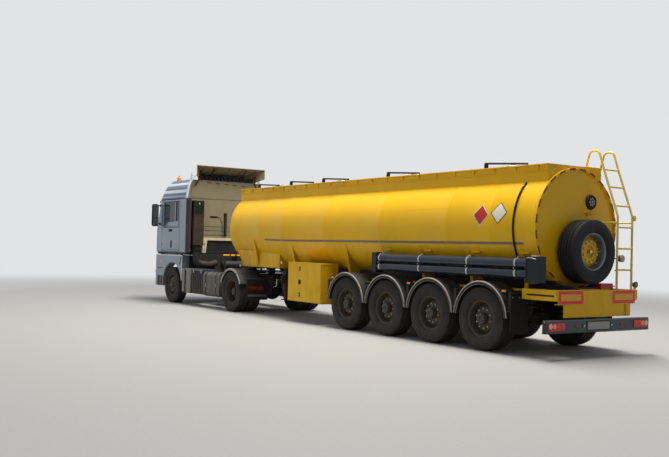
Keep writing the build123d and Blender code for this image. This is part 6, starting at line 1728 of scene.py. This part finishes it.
class LORRY_OT_wheels(bpy.types.Operator):
    """Build the tyres with their tread, and the pierced rims, nuts and hubs"""
    bl_idname = "lorry.wheels"
    bl_label = "Wheels"

    def execute(self, context):
        build_wheels(context.scene)
        return {"FINISHED"}


class LORRY_OT_tank(bpy.types.Operator):
    """Build the tank's shell with its welds, heads, gussets, collars, stripe and markings"""
    bl_idname = "lorry.tank"
    bl_label = "Tank"

    def execute(self, context):
        build_tank(context.scene)
        return {"FINISHED"}


class LORRY_OT_tank_top(bpy.types.Operator):
    """Dress the spill walls, walkway, handrail and manhole lids"""
    bl_idname = "lorry.tank_top"
    bl_label = "Tank top"

    def execute(self, context):
        build_tank_top()
        return {"FINISHED"}


class LORRY_OT_rear_end(bpy.types.Operator):
    """Build the ladder, the marker boards on the rear beam, the light bar and its lamps"""
    bl_idname = "lorry.rear_end"
    bl_label = "Rear end"

    def execute(self, context):
        build_rear_end(context.scene)
        return {"FINISHED"}


class LORRY_OT_hose_tubes(bpy.types.Operator):
    """Build the two ribbed hose tubes with their bands, end box and arms, and the drain hose"""
    bl_idname = "lorry.hose_tubes"
    bl_label = "Hose tubes"

    def execute(self, context):
        build_hose_tubes()
        return {"FINISHED"}


class LORRY_OT_cabinets(bpy.types.Operator):
    """Build the cabinet doors with their folded edges, latches and hinges, and trim the cabinets"""
    bl_idname = "lorry.cabinets"
    bl_label = "Cabinets"

    def execute(self, context):
        build_cabinets()
        return {"FINISHED"}


class LORRY_OT_mudguards(bpy.types.Operator):
    """Build the trailer's mudguards with rolled edges painted pale as a highlight, their stays, flaps, side lamps and
    side rail
    """
    bl_idname = "lorry.mudguards"
    bl_label = "Mudguards"

    def execute(self, context):
        build_mudguards()
        return {"FINISHED"}


class LORRY_OT_trailer_gear(bpy.types.Operator):
    """Dress the axles, springs, frame and landing legs"""
    bl_idname = "lorry.trailer_gear"
    bl_label = "Trailer gear"

    def execute(self, context):
        build_trailer_gear()
        return {"FINISHED"}


class LORRY_OT_cab(bpy.types.Operator):
    """Dress the cab: back wall, roof beads, gutters, doors and the flaps behind it"""
    bl_idname = "lorry.cab"
    bl_label = "Cab"

    def execute(self, context):
        build_cab()
        return {"FINISHED"}


class LORRY_OT_front(bpy.types.Operator):
    """Dress the front: grille, headlamps, bumper, wipers, visor, mirrors and the roof's beacon"""
    bl_idname = "lorry.front"
    bl_label = "Front"

    def execute(self, context):
        build_front()
        return {"FINISHED"}


class LORRY_OT_interior(bpy.types.Operator):
    """Build the seats, bunk, dashboard and steering wheel"""
    bl_idname = "lorry.interior"
    bl_label = "Interior"

    def execute(self, context):
        build_interior()
        return {"FINISHED"}


class LORRY_OT_chassis(bpy.types.Operator):
    """Dress the tractor's chassis: fuel tanks, boxes, mudguards, flaps, lines and engine"""
    bl_idname = "lorry.chassis"
    bl_label = "Tractor chassis"

    def execute(self, context):
        build_chassis()
        return {"FINISHED"}


class LORRY_PT_panel(bpy.types.Panel):
    """The lorry's sizes, colours and pieces"""

    bl_label = "Tank lorry"
    bl_idname = "LORRY_PT_panel"
    bl_space_type = "VIEW_3D"
    bl_region_type = "UI"
    bl_category = "Lorry"

    def draw(self, context):
        layout = self.layout
        for group in (context.scene.lorry_colours, context.scene.lorry_sizes):
            for key in group.__annotations__:
                layout.prop(group, key)
        for kind in OPERATORS:
            layout.operator(kind.bl_idname)


OPERATORS = (LORRY_OT_finishes, LORRY_OT_stage, LORRY_OT_wheels, LORRY_OT_tank, LORRY_OT_tank_top, LORRY_OT_rear_end,
    LORRY_OT_hose_tubes, LORRY_OT_cabinets, LORRY_OT_mudguards, LORRY_OT_trailer_gear, LORRY_OT_cab, LORRY_OT_front,
    LORRY_OT_interior, LORRY_OT_chassis,)
CLASSES = (LorryColours, LorrySizes, *OPERATORS, LORRY_PT_panel)


def register():
    for kind in CLASSES:
        bpy.utils.register_class(kind)
    bpy.types.Scene.lorry_colours = bpy.props.PointerProperty(type=LorryColours)
    bpy.types.Scene.lorry_sizes = bpy.props.PointerProperty(type=LorrySizes)


def unregister():
    del bpy.types.Scene.lorry_sizes
    del bpy.types.Scene.lorry_colours
    for kind in reversed(CLASSES):
        bpy.utils.unregister_class(kind)


def main():
    register()
    for kind in OPERATORS:
        group, name = kind.bl_idname.split(".")
        getattr(getattr(bpy.ops, group), name)()


if __name__ == "__main__":
    main()
